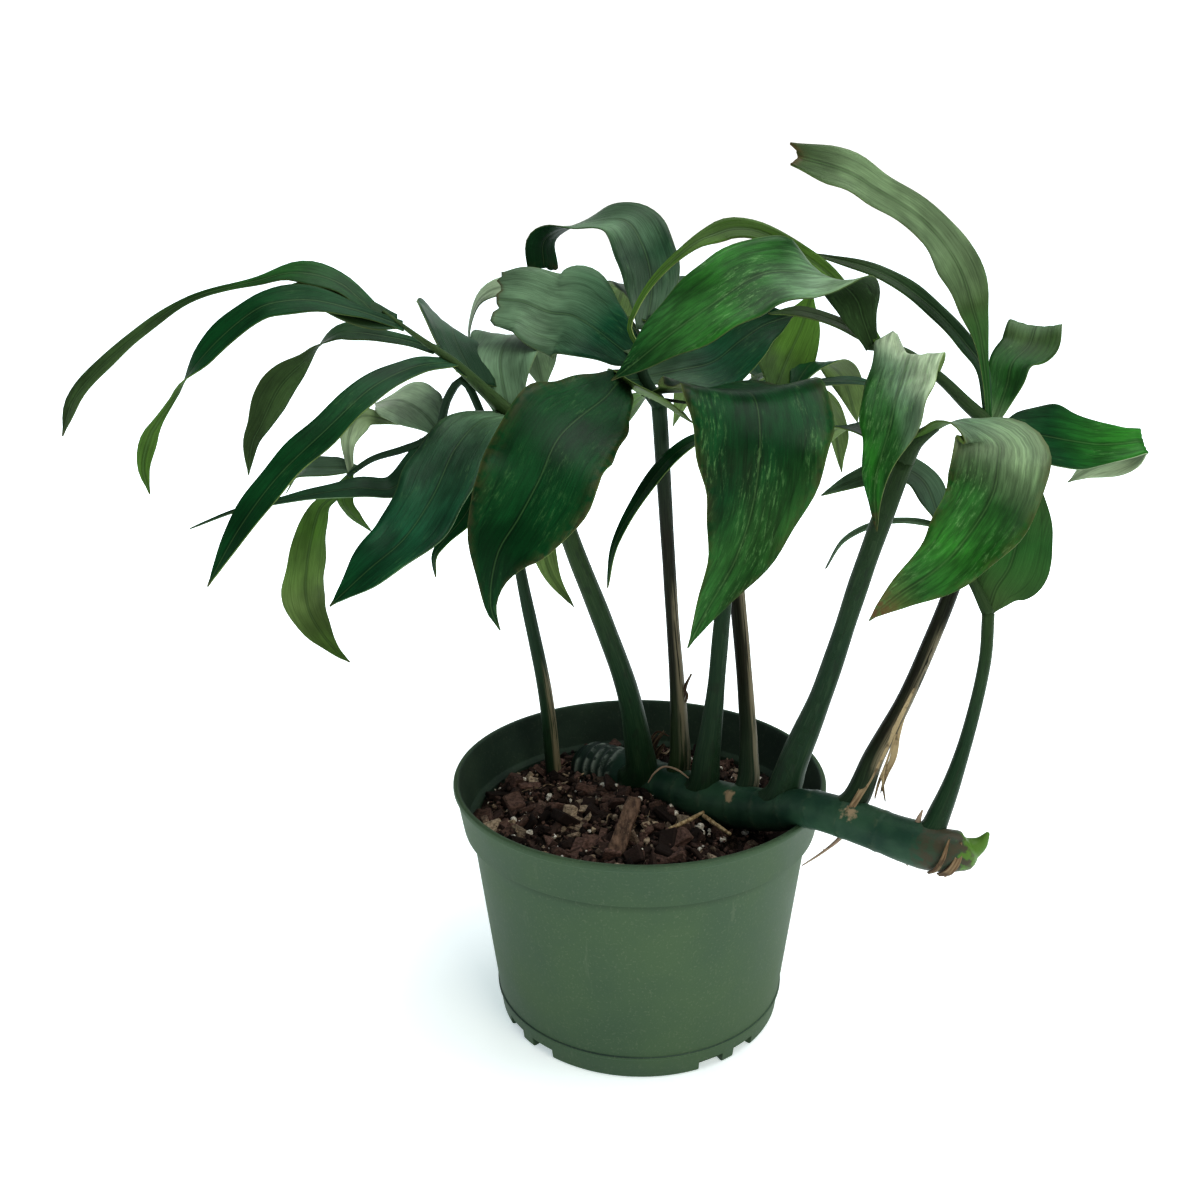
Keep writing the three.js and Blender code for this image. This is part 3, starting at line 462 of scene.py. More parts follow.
            (133, -52, 206)],
        "petiole_radii": [5.5, 4.2, 2.9, 2.5, 2.4, 2.4],
        "midrib": [(133, -52, 206), (128, -48, 216), (121, -42, 228), (116, -36, 238)],
        "midrib_radii": [2.4, 1.9, 1.5, 1.2],
        "lobes": {
            "entire": lobe(0.02, 0.15, "dusk fern dusk", "dusk fern dusk",
                [(134, -50, 210), (136, -48, 215), (141, -46, 223), (145, -42, 240), (147, -40, 249),
                    (149, -38, 258)],
                [5, 16, 24, 30, 31, 29, 25, 18, 10, 1.2], [-125, -130, -130, -130, -130, -130]),
            "narrow_up": lobe(1, 0.1, "slate grey", "olive",
                [(112, -16, 250), (102, -12, 254), (90, -8, 249), (74, -6, 241)],
                [3, 12, 14, 13, 10, 1.2], [-30, -30]),
            "narrow_down": lobe(0.95, 0, "grey", "grey",
                [(105, -27, 236), (94, -24, 234), (82, -20, 226), (75, -20, 214)],
                [2.5, 4, 4, 4, 3, 1.2], [-20, -20]),
        },
    },
}


# Curves


def colour(name):
    """A tone as linear red, green, blue and alpha."""
    parts = []
    for value in TONES[name]:
        share = value / 255
        parts.append(share / 12.92 if share <= 0.04045 else ((share + 0.055) / 1.055) ** 2.4)
    return Vector((*parts, 1))


def smooth_path(points, steps=24):
    """Many points on a smooth curve through the given ones, which keeps to their spacing."""
    points = [Vector(point) for point in points]
    first = 2 * points[0] - points[1]
    last = 2 * points[-1] - points[-2]
    ring = [first, *points, last]
    dense = []
    for index in range(len(points) - 1):
        a, b, c, d = ring[index:index + 4]
        before = max((b - a).length, 1e-9) ** 0.5
        within = max((c - b).length, 1e-9) ** 0.5
        after = max((d - c).length, 1e-9) ** 0.5
        leave = ((b - a) / before - (c - a) / (before + within) + (c - b) / within) * within
        arrive = ((c - b) / within - (d - b) / (within + after) + (d - c) / after) * within
        square = 3 * (c - b) - 2 * leave - arrive
        cube = 2 * (b - c) + leave + arrive
        for step in range(steps):
            share = step / steps
            dense.append(b + leave * share + square * share ** 2 + cube * share ** 3)
    dense.append(points[-1])
    return dense


def spaced(dense, rows):
    """Evenly spaced points along a dense path, and its length."""
    lengths = [0]
    for before, after in zip(dense, dense[1:]):
        lengths.append(lengths[-1] + (after - before).length)
    found = []
    index = 0
    for row in range(rows + 1):
        wanted = lengths[-1] * row / rows
        while index < len(dense) - 2 and lengths[index + 1] < wanted:
            index += 1
        gap = lengths[index + 1] - lengths[index]
        found.append(dense[index].lerp(dense[index + 1], min(max((wanted - lengths[index]) / gap, 0), 1)))
    return found, lengths[-1]


def along(values, share):
    """The value of a list spread evenly over 0 to 1, on a smooth curve through it."""
    if len(values) == 1:
        return values[0]
    place = share * (len(values) - 1)
    index = min(int(place), len(values) - 2)
    f = place - index
    b = values[index]
    c = values[index + 1]
    a = values[index - 1] if index > 0 else b
    d = values[index + 2] if index + 2 < len(values) else c
    value = b + 0.5 * f * (c - a + f * (2 * a - 5 * b + 4 * c - d + f * (3 * (b - c) + d - a)))
    return min(max(value, min(b, c)), max(b, c))


def tone_along(names, share):
    """The colour of a row of tones at a share of the way along it."""
    place = share * (len(names) - 1)
    index = min(int(place), max(len(names) - 2, 0))
    if len(names) == 1:
        return colour(names[0])
    return colour(names[index]).lerp(colour(names[index + 1]), place - index)


def frames_along(points):
    """Point, tangent, side and face normal at each point; the first side is level, to the path's right."""
    heading = points[-1] - points[0]
    heading.z = 0
    if heading.length < 0.001:
        heading = Vector((1, 0, 0))
    side = Vector((heading.y, -heading.x, 0)).normalized()
    frames = []
    for index, point in enumerate(points):
        tangent = (points[min(index + 1, len(points) - 1)] - points[max(index - 1, 0)]).normalized()
        side = (side - side.dot(tangent) * tangent).normalized()
        frames.append((point, tangent, side.copy(), side.cross(tangent)))
    return frames


def metres(points):
    return [Vector(point) * MM for point in points]


def ease(low, high, value):
    """Smoothly 0 below low to 1 above high."""
    share = min(max((value - low) / (high - low), 0), 1)
    return share * share * (3 - 2 * share)


# Pieces


def mesh_of(name, bm):
    """A mesh of what a bmesh holds, which is freed."""
    mesh = bpy.data.meshes.new(name)
    bm.to_mesh(mesh)
    bm.free()
    return mesh


def set_out(name, data):
    """An object with this data in the scene."""
    made = bpy.data.objects.new(name, data)
    bpy.context.scene.collection.objects.link(made)
    return made


def finish_piece(name, bm, materials, slot, *nodes, smooth=True):
    """A bmesh as a piece of the plant, which rides on the root and stands for its CAD nodes."""
    mesh = mesh_of(name, bm)
    for material in materials:
        mesh.materials.append(material)
    mesh.polygons.foreach_set("use_smooth", [smooth] * len(mesh.polygons))
    piece = set_out(name, mesh)
    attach(piece, "root")
    if nodes:
        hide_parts(*nodes)
    return piece


def leaf_marks(bm):
    """The marks that the leaf materials read, kept on the vertices."""
    layers = bm.verts.layers
    return {
        "place": layers.float_vector.new("place"),
        "upper": layers.float_color.new("upper"),
        "under": layers.float_color.new("under"),
        "wear": layers.float_vector.new("wear"),
    }


def sweep(bm, path, radius_at, sides, rows, mark=None):
    """A closed round bar with domed ends along a path in metres, with a radius for each share and angle."""
    frames = frames_along(spaced(smooth_path(path), rows)[0])
    made = bmesh.ops.create_grid(bm, x_segments=sides, y_segments=rows + 2, size=1)["verts"]
    for vert in made:
        angle = math.pi * (vert.co.x + 1)
        level = round((vert.co.y + 1) / 2 * (rows + 2)) - 1
        row = min(max(level, 0), rows)
        share = row / rows
        point, tangent, side, normal = frames[row]
        radius = radius_at(share, angle)
        outward = math.cos(angle) * side + math.sin(angle) * normal
        dome = 0.5 * radius_at(share, 0) * (level - row)
        vert.co = point + tangent * dome + outward * (radius if level == row else 0)
        if mark:
            mark(vert, share, angle, outward)
    bmesh.ops.remove_doubles(bm, verts=made, dist=1e-6)
    faces = list({face for vert in made if vert.is_valid for face in vert.link_faces})
    bmesh.ops.recalc_face_normals(bm, faces=faces)
    return faces


def add_blade(bm, marks, root, lobe, seed):
    """One lobe: a folded, wavy, veined blade along its path, closed and 0.5 mm thick."""
    chance = random.Random(seed)
    columns = BLADE_COLUMNS if max(lobe["width"]) > NARROW_BLADE else NARROW_COLUMNS
    path = [root, *metres(lobe["path"])]
    points, length = spaced(smooth_path(path), BLADE_ROWS)
    frames = frames_along(points)
    torn = lobe.get("torn")
    crest = lobe.get("crest", [0])
    tear = min(1, length / FULL_TEAR_LENGTH) * MM
    waves = length / WAVE_LENGTH * chance.uniform(0.85, 1.15)
    phase_left = chance.uniform(0, 6.28)
    phase_right = chance.uniform(0, 6.28)
    wave_size = lobe.get("wave", 0.07)
    made = bmesh.ops.create_grid(bm, x_segments=columns, y_segments=BLADE_ROWS, size=1)["verts"]
    for vert in made:
        across = vert.co.x
        share = (vert.co.y + 1) / 2
        point, tangent, side, normal = frames[round(share * BLADE_ROWS)]
        roll = math.radians(along(lobe["roll"], share))
        turned = side * math.cos(roll) - normal * math.sin(roll)
        face_normal = turned.cross(tangent)
        half = along(lobe["width"], share) / 2 * MM
        if not torn:
            half *= 1 - 0.75 * ease(0.965, 1, share)
        middle = 4 * share * (1 - share)
        phase = phase_right if across > 0 else phase_left
        swing = math.sin(6.283 * share * waves + phase) * abs(across) ** 2
        wave = swing * wave_size * half * min(1, middle * 1.5)
        reach = across * half * (1 + 0.03 * math.sin(9 * share * waves + phase * 2) * abs(across))
        fold = BLADE_FOLD * half * (math.sqrt(across * across + 0.02) - 0.12)
        pleats = 0
        if max(lobe["width"]) > PLEATED_BLADE:
            for centre in PLEAT_PLACES:
                bell = math.exp(-((across - centre) / PLEAT_WIDTH) ** 2)
                pleats -= PLEAT_DEPTH * MM * bell * min(1, middle * 2)
        spot = point + turned * reach + face_normal * (fold + wave + pleats)
        spot.z += along(crest, (across + 1) / 2) * MM * (1 - ease(0, 0.25, share))
        if torn:
            spot += tangent * along(torn, (across + 1) / 2) * tear * ease(0.72, 1, share)
            spot += tangent * noise.noise(Vector((across * 9, seed, 0))) * 2.5 * tear * ease(0.9, 1, share)
        vert.co = spot
        vert[marks["place"]] = (across * half, share * length, seed * SEED_STEP)
        shift = lobe.get("lean", 0) * across + 0.07 * noise.noise(vert.co * 60)
        toned = min(max(share + shift * middle, 0), 1)
        vert[marks["upper"]] = tone_along(lobe["upper"], toned)
        vert[marks["under"]] = tone_along(lobe["under"], toned)
        brown = max(lobe.get("brown", 0) * ease(0.75, 1, abs(across)), 0.7 * ease(0.985, 1, share))
        brown = max(brown, lobe.get("tip", 0) * ease(0.86, 0.97, share))
        if torn:
            brown = max(brown, 0.5 * ease(0.97, 1, share))
        vert[marks["wear"]] = (abs(across), lobe["streaks"], brown)
    faces = list({face for vert in made for face in vert.link_faces})
    bmesh.ops.recalc_face_normals(bm, faces=faces)
    middle_face = min(faces, key=lambda face: (face.calc_center_median() - points[BLADE_ROWS // 2]).length)
    _, tangent, side, normal = frames[BLADE_ROWS // 2]
    roll = math.radians(along(lobe["roll"], 0.5))
    wanted = (side * math.cos(roll) - normal * math.sin(roll)).cross(tangent)
    if middle_face.normal.dot(wanted) < 0:
        bmesh.ops.reverse_faces(bm, faces=faces)
    known = set(bm.faces)
    bmesh.ops.solidify(bm, geom=faces, thickness=BLADE_THICKNESS * MM)
    for face in bm.faces:
        if face not in known:
            face.material_index = 1


def add_stalk(bm, marks, points, radii, tones, strip, seed, sides, rows):
    """A petiole or midrib: a round bar, a little ribbed, with its tones and a dry strip along one side."""
    length = sum((Vector(b) - Vector(a)).length for a, b in zip(points, points[1:])) * MM
    facing_x, facing_y, start, end, strength = strip

    def radius_at(share, angle):
        ribs = 1 + 0.03 * math.sin(angle * 5 + seed)
        lumps = 1 + 0.04 * noise.noise(Vector((share * length * 60, math.cos(angle) * 0.7, seed)))
        return along(radii, share) * MM * ribs * lumps

    def mark(vert, share, angle, outward):
        vert[marks["place"]] = (angle * 0.004, share * length, seed * SEED_STEP)
        tone = tone_along(tones, share)
        vert[marks["upper"]] = tone
        vert[marks["under"]] = tone
        facing = ease(0.5, 0.85, outward.x * facing_x + outward.y * facing_y)
        started = ease(start - 0.02, start + 0.02, share)
        going = 1 - ease(end - 0.05, end + 0.02, share)
        dry = strength * facing * started * going
        vert[marks["wear"]] = (0.5, dry, 0)

    for face in sweep(bm, metres(points), radius_at, sides, rows, mark):
        face.material_index = 2


def build_leaf(name, leaf, number):
    """A whole leaf: stalk, midrib and every lobe in one piece."""
    bm = bmesh.new()
    marks = leaf_marks(bm)
    add_stalk(bm, marks, leaf["petiole"], leaf["petiole_radii"], leaf["stalk"], leaf["strip"], number, 20, 56)
    rib_tone = [leaf["stalk"][-1]]
    add_stalk(bm, marks, leaf["midrib"], leaf["midrib_radii"], rib_tone, NO_STRIP, number + 0.5, 10, 40)
    rib = spaced(smooth_path(metres(leaf["midrib"])), RIB_POINTS)[0]
    for order, lobe in enumerate(leaf["lobes"].values()):
        root = rib[round(lobe["at"] * RIB_POINTS)]
        add_blade(bm, marks, root, lobe, number * 20 + order)
    materials = [blade_upper, blade_under, stalk_skin]
    return finish_piece(f"{name}_blades", bm, materials, "leaf", name)


def turned(profile, steps):
    """A bmesh of a profile, pairs of radius and height in millimetres, spun round the pot's axis."""
    bm = bmesh.new()
    verts = [bm.verts.new((radius * MM, 0, height * MM)) for radius, height in profile]
    edges = [bm.edges.new(pair) for pair in zip(verts, verts[1:])]
    bmesh.ops.spin(
        bm, geom=verts + edges, cent=(0, 0, 0), axis=(0, 0, 1), angle=math.tau, steps=steps, use_merge=True,
    )
    bmesh.ops.remove_doubles(bm, verts=bm.verts, dist=1e-6)
    return bm


def build_pot():
    """The pot: its profile spun round, with the drain notches cut out of the foot."""
    bm = turned(POT_PROFILE, POT_STEPS)
    bmesh.ops.recalc_face_normals(bm, faces=bm.faces)
    piece = finish_piece("pot_shell", bm, [pot_plastic, pot_inside_shade], "pot_plastic", "pot")
    cutters = bmesh.new()
    for angle in DRAIN_ANGLES:
        turn = Matrix.Rotation(math.radians(angle), 4, "Z")
        size = Matrix.Diagonal((DRAIN_DEEP * MM, DRAIN_WIDE * MM, DRAIN_HIGH * 2 * MM, 1))
        place = turn @ Matrix.Translation((FOOT_RADIUS * MM, 0, 0)) @ size
        bmesh.ops.create_cube(cutters, size=1, matrix=place)
    notches = set_out("drain_notches", mesh_of("drain_notches", cutters))
    cut = piece.modifiers.new("drain", "BOOLEAN")
    cut.operation = "DIFFERENCE"
    cut.solver = "EXACT"
    cut.object = notches
    whole = piece.evaluated_get(bpy.context.evaluated_depsgraph_get())
    shaped = bpy.data.meshes.new_from_object(whole)
    piece.modifiers.clear()
    old = piece.data
    piece.data = shaped
    bpy.data.meshes.remove(old)
    bpy.data.objects.remove(notches)
    shaped.set_sharp_from_angle(angle=math.radians(SHARP_ANGLE))
    # The inside walls and the inner ledge take the darker plastic: painted shade in the pot's hollow.
    for face in shaped.polygons:
        normal, centre = face.normal, face.center
        inward = normal.x * centre.x + normal.y * centre.y < -INWARD_SHARE * centre.xy.length
        ledge = normal.z > LEDGE_SLOPE and centre.z < LEDGE_TOP
        face.material_index = 1 if (inward or ledge) and centre.z > INSIDE_BOTTOM else 0
    return piece


def soil_height(x, y):
    """The level of the mix in millimetres at a place in millimetres."""
    radius = min(math.hypot(x, y), SOIL_EDGE)
    coarse = math.sin(x * 0.31 + 1.3) * math.cos(y * 0.27 - 0.6)
    fine = math.sin(x * 0.83 - y * 0.41) * math.sin(y * 0.77 + x * 0.19 + 2.1)
    rise = SOIL_MOUND * math.cos(math.pi / 2 * radius / SOIL_EDGE) ** 1.3
    return SOIL_LEVEL + rise + 0.9 * coarse + 0.9 * fine


def build_soil():
    """The body of the mix: a turned filling with a rough top."""
    profile = [(0, SOIL_FLOOR), (62, SOIL_FLOOR), (SOIL_EDGE - 0.3, 89), (SOIL_EDGE, 90)]
    profile += [(SOIL_EDGE * ring / SOIL_RINGS, SOIL_LEVEL) for ring in range(SOIL_RINGS, -1, -1)]
    bm = turned(profile, SOIL_STEPS)
    for vert in bm.verts:
        if vert.co.z > 90.5 * MM:
            crumbs = noise.fractal(vert.co * 200, 1, 2, 4) * 1.6 * MM
            vert.co.z = soil_height(vert.co.x / MM, vert.co.y / MM) * MM - 1.2 * MM + crumbs
    bmesh.ops.recalc_face_normals(bm, faces=bm.faces)
    return finish_piece("bark_mix_body", bm, [soil_crumb], "bark_mix", "soil")


def near_stem(x, y, spare):
    """Whether a place in millimetres lies under the creeping stem."""
    for a, b in zip(RHIZOME_PATH[:7], RHIZOME_PATH[1:8]):
        run = Vector((b[0] - a[0], b[1] - a[1]))
        share = min(max(Vector((x - a[0], y - a[1])).dot(run) / run.length_squared, 0), 1)
        if (Vector((x, y)) - Vector(a[:2]) - run * share).length < spare:
            return True
    return False


def strewn_place(chance, margin):
    """A random place on the mix, in millimetres, that keeps this far from its edge."""
    radius = (SOIL_EDGE - margin) * math.sqrt(chance.random())
    turn = chance.uniform(0, math.tau)
    return radius * math.cos(turn), radius * math.sin(turn)


def build_chips():
    """Chips of bark strewn over the mix, each a bevelled and battered flake."""
    chance = random.Random(5)
    bm = bmesh.new()
    place = bm.verts.layers.float_vector.new("place")
    for count in range(CHIP_COUNT):
        x, y = strewn_place(chance, 3)
        if near_stem(x, y, 6):
            continue
        size = CHIP_SIZES[0] + (CHIP_SIZES[1] - CHIP_SIZES[0]) * chance.random() ** 3
        wide = size * chance.uniform(0.45, 0.9)
        thick = size * chance.uniform(0.18, 0.5)
        height = soil_height(x, y) + chance.uniform(-0.8, 1.4)
        lean = Matrix.Rotation(chance.gauss(0, 0.5), 4, "X") @ Matrix.Rotation(chance.gauss(0, 0.5), 4, "Y")
        spin = Matrix.Rotation(chance.uniform(0, math.tau), 4, "Z")
        shape = Matrix.Diagonal((size * MM, wide * MM, thick * MM, 1))
        matrix = Matrix.Translation((x * MM, y * MM, height * MM)) @ lean @ spin @ shape
        made = bmesh.ops.create_cube(bm, size=1, matrix=matrix)["verts"]
        for vert in made:
            vert.co += noise.noise_vector(vert.co * 400) * size * 0.22 * MM
        edges = list({edge for vert in made for edge in vert.link_edges})
        bevelled = bmesh.ops.bevel(
            bm, geom=edges, offset=thick * 0.18 * MM, affect="EDGES", segments=1, profile=0.5, material=-1,
        )
        shade = (chance.random(), chance.random(), count * 0.31)
        for vert in bevelled["verts"]:
            vert[place] = shade
    return finish_piece("bark_chips", bm, [chip_bark], "bark_mix", smooth=False)


def build_crumbs():
    """Fine crumbs of bark and soil between the chips."""
    chance = random.Random(17)
    bm = bmesh.new()
    place = bm.verts.layers.float_vector.new("place")
    for count in range(CRUMB_COUNT):
        x, y = strewn_place(chance, 1.5)
        size = 0.4 + 1.1 * chance.random() ** 2
        matrix = Matrix.Translation((x * MM, y * MM, (soil_height(x, y) + chance.uniform(-0.6, 1.8)) * MM))
        made = bmesh.ops.create_icosphere(bm, subdivisions=1, radius=size * MM, matrix=matrix)["verts"]
        shade = (chance.random(), chance.random(), count * 0.31)
        for vert in made:
            vert.co += noise.noise_vector(vert.co * 900) * size * 0.7 * MM
            vert[place] = shade
    return finish_piece("soil_crumbs", bm, [chip_bark], "bark_mix", smooth=False)


def build_perlite():
    """White grains of perlite among the bark."""
    chance = random.Random(11)
    bm = bmesh.new()
    for _ in range(PERLITE_COUNT):
        x, y = strewn_place(chance, 2)
        size = chance.uniform(0.4, 1.0) if chance.random() < 0.85 else chance.uniform(1.0, 1.7)
        matrix = Matrix.Translation((x * MM, y * MM, (soil_height(x, y) + chance.uniform(0, 1.6)) * MM))
        made = bmesh.ops.create_icosphere(bm, subdivisions=2, radius=size * MM, matrix=matrix)["verts"]
        for vert in made:
            vert.co += noise.noise_vector(vert.co * 900) * size * 0.55 * MM
    return finish_piece("perlite_grains", bm, [perlite_white], "bark_mix", smooth=False)


def build_fibres():
    """Pale fibres and twigs lying in the mix."""
    chance = random.Random(23)
    bm = bmesh.new()
    for _ in range(FIBRE_COUNT):
        x, y = strewn_place(chance, 10)
        heading = chance.uniform(0, math.tau)
        reach = chance.uniform(4, 11)
        thick = chance.uniform(0.12, 0.4)
        path = []
        for step in (-1, -0.3, 0.4, 1):
            bend = heading + step * chance.uniform(-0.3, 0.3)
            px = x + math.cos(bend) * reach * step / 2
            py = y + math.sin(bend) * reach * step / 2
            path.append((px, py, soil_height(px, py) + 0.6 + chance.uniform(0, 1.8)))
        sweep(bm, metres(path), lambda share, angle: thick * MM * (1 - 0.5 * abs(2 * share - 1)), 6, 10)
    return finish_piece("dry_fibres", bm, [dry_fibre], "bark_mix")


def build_rhizome():
    """The creeping stem: a thick bar with ring scars, a hooked tip and thin dry roots."""
    bm = bmesh.new()
    place = bm.verts.layers.float_vector.new("place")
    length = spaced(smooth_path(metres(RHIZOME_PATH)), 10)[1]
    stops = [0]
    for before, after in zip(RHIZOME_PATH, RHIZOME_PATH[1:]):
        stops.append(stops[-1] + (Vector(after) - Vector(before)).length)

    def girth(share):
        reach = share * stops[-1]
        index = max(number for number, stop in enumerate(stops[:-1]) if stop <= reach)
        part = min((reach - stops[index]) / (stops[index + 1] - stops[index]), 1)
        return RHIZOME_RADII[index] + (RHIZOME_RADII[index + 1] - RHIZOME_RADII[index]) * part

    def bell(share, rings):
        return sum(math.exp(-((share - ring) * length / (RING_WIDTH * MM)) ** 2) for ring in rings)

    def radius_at(share, angle):
        ridge = 0.08 * bell(share, PALE_RINGS) + 0.035 * bell(share, GREEN_RINGS)
        lumps = noise.noise(Vector((share * length * 90, math.cos(angle), math.sin(angle))))
        return girth(share) * (1 + ridge + 0.03 * lumps) * MM

    def mark(vert, share, angle, outward):
        vert[place] = (share, min(1, bell(share, PALE_RINGS)), 0.35 * min(1, bell(share, GREEN_RINGS)))

    def mark_root(vert, share, angle, outward):
        vert[place] = (-1, 0, 0)

    sweep(bm, metres(RHIZOME_PATH), radius_at, 32, 220, mark)
    for root in ROOTS:
        radii = root["radii"]
        sweep(bm, metres(root["path"]), lambda share, angle: along(radii, share) * MM, 10, 24, mark_root)
    return finish_piece("creeping_stem", bm, [stem_skin], "stem", "rhizome")


def build_papery(name, strips, seed, tones, *nodes):
    """Dry papery strips: thin, crumpled and torn blades."""
    bm = bmesh.new()
    marks = leaf_marks(bm)
    for number, strip in enumerate(strips):
        lobe = {
            "path": strip["path"][1:], "width": strip["width"], "roll": strip["roll"], "upper": tones,
            "under": tones, "streaks": 0, "torn": [2, -2, 1, -2, 2], "wave": 0.2,
        }
        add_blade(bm, marks, Vector(strip["path"][0]) * MM, lobe, seed + number)
    return finish_piece(name, bm, [dry_sheath_skin, dry_sheath_skin], "dry_leaf", *nodes)


def build_slab():
    """The slab of bark leaning out of the mix."""
    bm = bmesh.new()
    wide, deep, high = SLAB_SIZE
    for vert in bmesh.ops.create_cube(bm, size=1)["verts"]:
        taper = SLAB_TAPER if vert.co.z > 0 else 1
        vert.co = Vector((vert.co.x * wide * taper, vert.co.y * deep, vert.co.z * high)) * MM
    bmesh.ops.bevel(
        bm, geom=list(bm.edges), offset=1.1 * MM, affect="EDGES", segments=2, profile=0.5, material=-1,
    )
    bmesh.ops.subdivide_edges(bm, edges=list(bm.edges), cuts=5, use_grid_fill=True)
    for vert in bm.verts:
        vert.co += noise.noise_vector(vert.co * 260) * 0.7 * MM
    turn = Matrix.Rotation(math.radians(SLAB_TURN), 4, "Z") @ Matrix.Rotation(math.radians(SLAB_LEAN), 4, "X")
    bmesh.ops.transform(bm, matrix=Matrix.Translation(Vector(SLAB_CENTRE) * MM) @ turn, verts=list(bm.verts))
    bmesh.ops.recalc_face_normals(bm, faces=bm.faces)
    return finish_piece("bark_slab_piece", bm, [slab_bark], "bark", "bark_slab")


def build_straws():
    """Two bits of straw by the stem."""
    for number, path in enumerate(STRAW_PATHS, 1):
        bm = bmesh.new()

        def radius_at(share, angle):
            return along(STRAW_RADII, share) * MM * (1 + 0.06 * math.sin(angle * 6))

        sweep(bm, metres(path), radius_at, 14, 20)
        finish_piece(f"straw_bit_{number}", bm, [straw_skin], "straw", f"straw_{number}")


# Materials


def add(tree, kind, inputs=(), **settings):
    """A shader node with its inputs set to values or joined to other nodes' outputs."""
    made = tree.nodes.new("ShaderNode" + kind)
    for key, value in settings.items():
        setattr(made, key, value)
    for socket, value in dict(inputs).items():
        if isinstance(value, bpy.types.NodeSocket):
            tree.links.new(value, made.inputs[socket])
        else:
            made.inputs[socket].default_value = value
    return made


def start_material(name, roughness, specular=0.2):
    material = bpy.data.materials.new(name)
    material.use_nodes = True
    tree = material.node_tree
    shader = tree.nodes["Principled BSDF"]
    shader.inputs["Roughness"].default_value = roughness
    shader.inputs["Specular IOR Level"].default_value = specular
    return material, tree, shader


def calc(tree, operation, first, second=0.5, third=0.0):
    return add(tree, "Math", {0: first, 1: second, 2: third}, operation=operation).outputs[0]


def span(tree, value, low, high, start=0.0, end=1.0):
    """A value taken from one range to another, held at both ends and eased between them."""
    inputs = {"Value": value, "From Min": low, "From Max": high, "To Min": start, "To Max": end}
    return add(tree, "MapRange", inputs, interpolation_type="SMOOTHSTEP").outputs[0]


def blend(tree, share, first, second, kind="MIX"):
    inputs = {0: share, 6: first, 7: second}
    return add(tree, "Mix", inputs, data_type="RGBA", blend_type=kind).outputs[2]


def grain(tree, vector, scale, detail=4.0, roughness=0.55):
    inputs = {"Vector": vector, "Scale": scale, "Detail": detail, "Roughness": roughness}
    return add(tree, "TexNoise", inputs).outputs["Fac"]


def stretch(tree, vector, scale):
    return add(tree, "Mapping", {"Vector": vector, "Scale": scale}).outputs["Vector"]


def mark_of(tree, name):
    return add(tree, "Attribute", attribute_name=name)


def split(tree, vector):
    return add(tree, "SeparateXYZ", {"Vector": vector}).outputs


def relief(tree, shader, height, strength, distance):
    bump = add(tree, "Bump", {"Height": height, "Strength": strength, "Distance": distance})
    tree.links.new(bump.outputs["Normal"], shader.inputs["Normal"])


def on_object(tree):
    return add(tree, "TexCoord").outputs["Object"]


def make_blade(name, side, roughness, vein_lift, contrast):
    """Leaf skin on one side: its tone with soft patches, stripes, pale flecks, dark veins and worn edge."""
    material, tree, shader = start_material(name, roughness, 0.08)
    place = mark_of(tree, "place").outputs["Vector"]
    tone = mark_of(tree, side).outputs["Color"]
    edge, strength, brown = split(tree, mark_of(tree, "wear").outputs["Vector"])
    streaks = calc(tree, "MULTIPLY", strength, contrast)
    across = calc(tree, "ABSOLUTE", split(tree, place)["X"])
    patches = grain(tree, stretch(tree, place, (1, 0.5, 1)), 55, 3)
    veins = grain(tree, stretch(tree, place, (1, 0.035, 1)), 2000, 4, 0.6)
    stripes = grain(tree, stretch(tree, place, (1, 0.13, 1)), 560, 4, 0.6)
    soft = span(tree, patches, 0.36, 0.64, 0.66, 1.25)
    fine = calc(tree, "MULTIPLY", soft, span(tree, veins, 0.35, 0.65, 0.86, 1.12))
    striped = calc(tree, "MULTIPLY_ADD", streaks, span(tree, stripes, 0.38, 0.62, -0.24, 0.24), 1.0)
    middle = span(tree, across, 0.0004, 0.0012, 0.62, 1.0)
    side_vein = calc(tree, "PINGPONG", calc(tree, "ADD", edge, 0.02), 0.33)
    veined = calc(tree, "MULTIPLY", middle, span(tree, side_vein, 0.0, 0.035, 0.78, 1.0))
    depth = calc(tree, "MULTIPLY", calc(tree, "MULTIPLY", fine, striped), veined)
    shaded = add(tree, "VectorMath", {0: tone, "Scale": depth}, operation="SCALE").outputs[0]
    flecks = grain(tree, stretch(tree, place, (1, 0.16, 1)), 900, 6, 0.75)
    clusters = span(tree, grain(tree, stretch(tree, place, (1, 0.4, 5)), 75, 2), 0.44, 0.6)
    clustered = calc(tree, "MULTIPLY", span(tree, flecks, 0.5, 0.68, 0.0, 0.55), clusters)
    fleck = calc(tree, "MULTIPLY", clustered, streaks)
    flecked = blend(tree, fleck, shaded, (0.13, 0.27, 0.1, 1))
    ribbed = blend(tree, span(tree, across, 0.0001, 0.0004, 0.14, 0.0), flecked, (0.14, 0.28, 0.1, 1))
    spots = grain(tree, place, 260, 3)
    worn = calc(tree, "MULTIPLY", brown, span(tree, spots, 0.35, 0.6))
    tired = blend(tree, worn, ribbed, (0.09, 0.055, 0.025, 1))
    rim = calc(tree, "MULTIPLY", span(tree, edge, 0.96, 1.0), 0.2)
    finished = blend(tree, rim, tired, (0.14, 0.17, 0.06, 1))
    tree.links.new(finished, shader.inputs["Base Color"])
    gloss = span(tree, patches, 0.3, 0.7, roughness - 0.06, roughness + 0.08)
    tree.links.new(gloss, shader.inputs["Roughness"])
    lift = calc(tree, "MULTIPLY", veined, vein_lift)
    height = calc(tree, "MULTIPLY_ADD", veins, 0.5, calc(tree, "MULTIPLY_ADD", stripes, 0.6, lift))
    relief(tree, shader, height, 0.35, 0.0006)
    return material


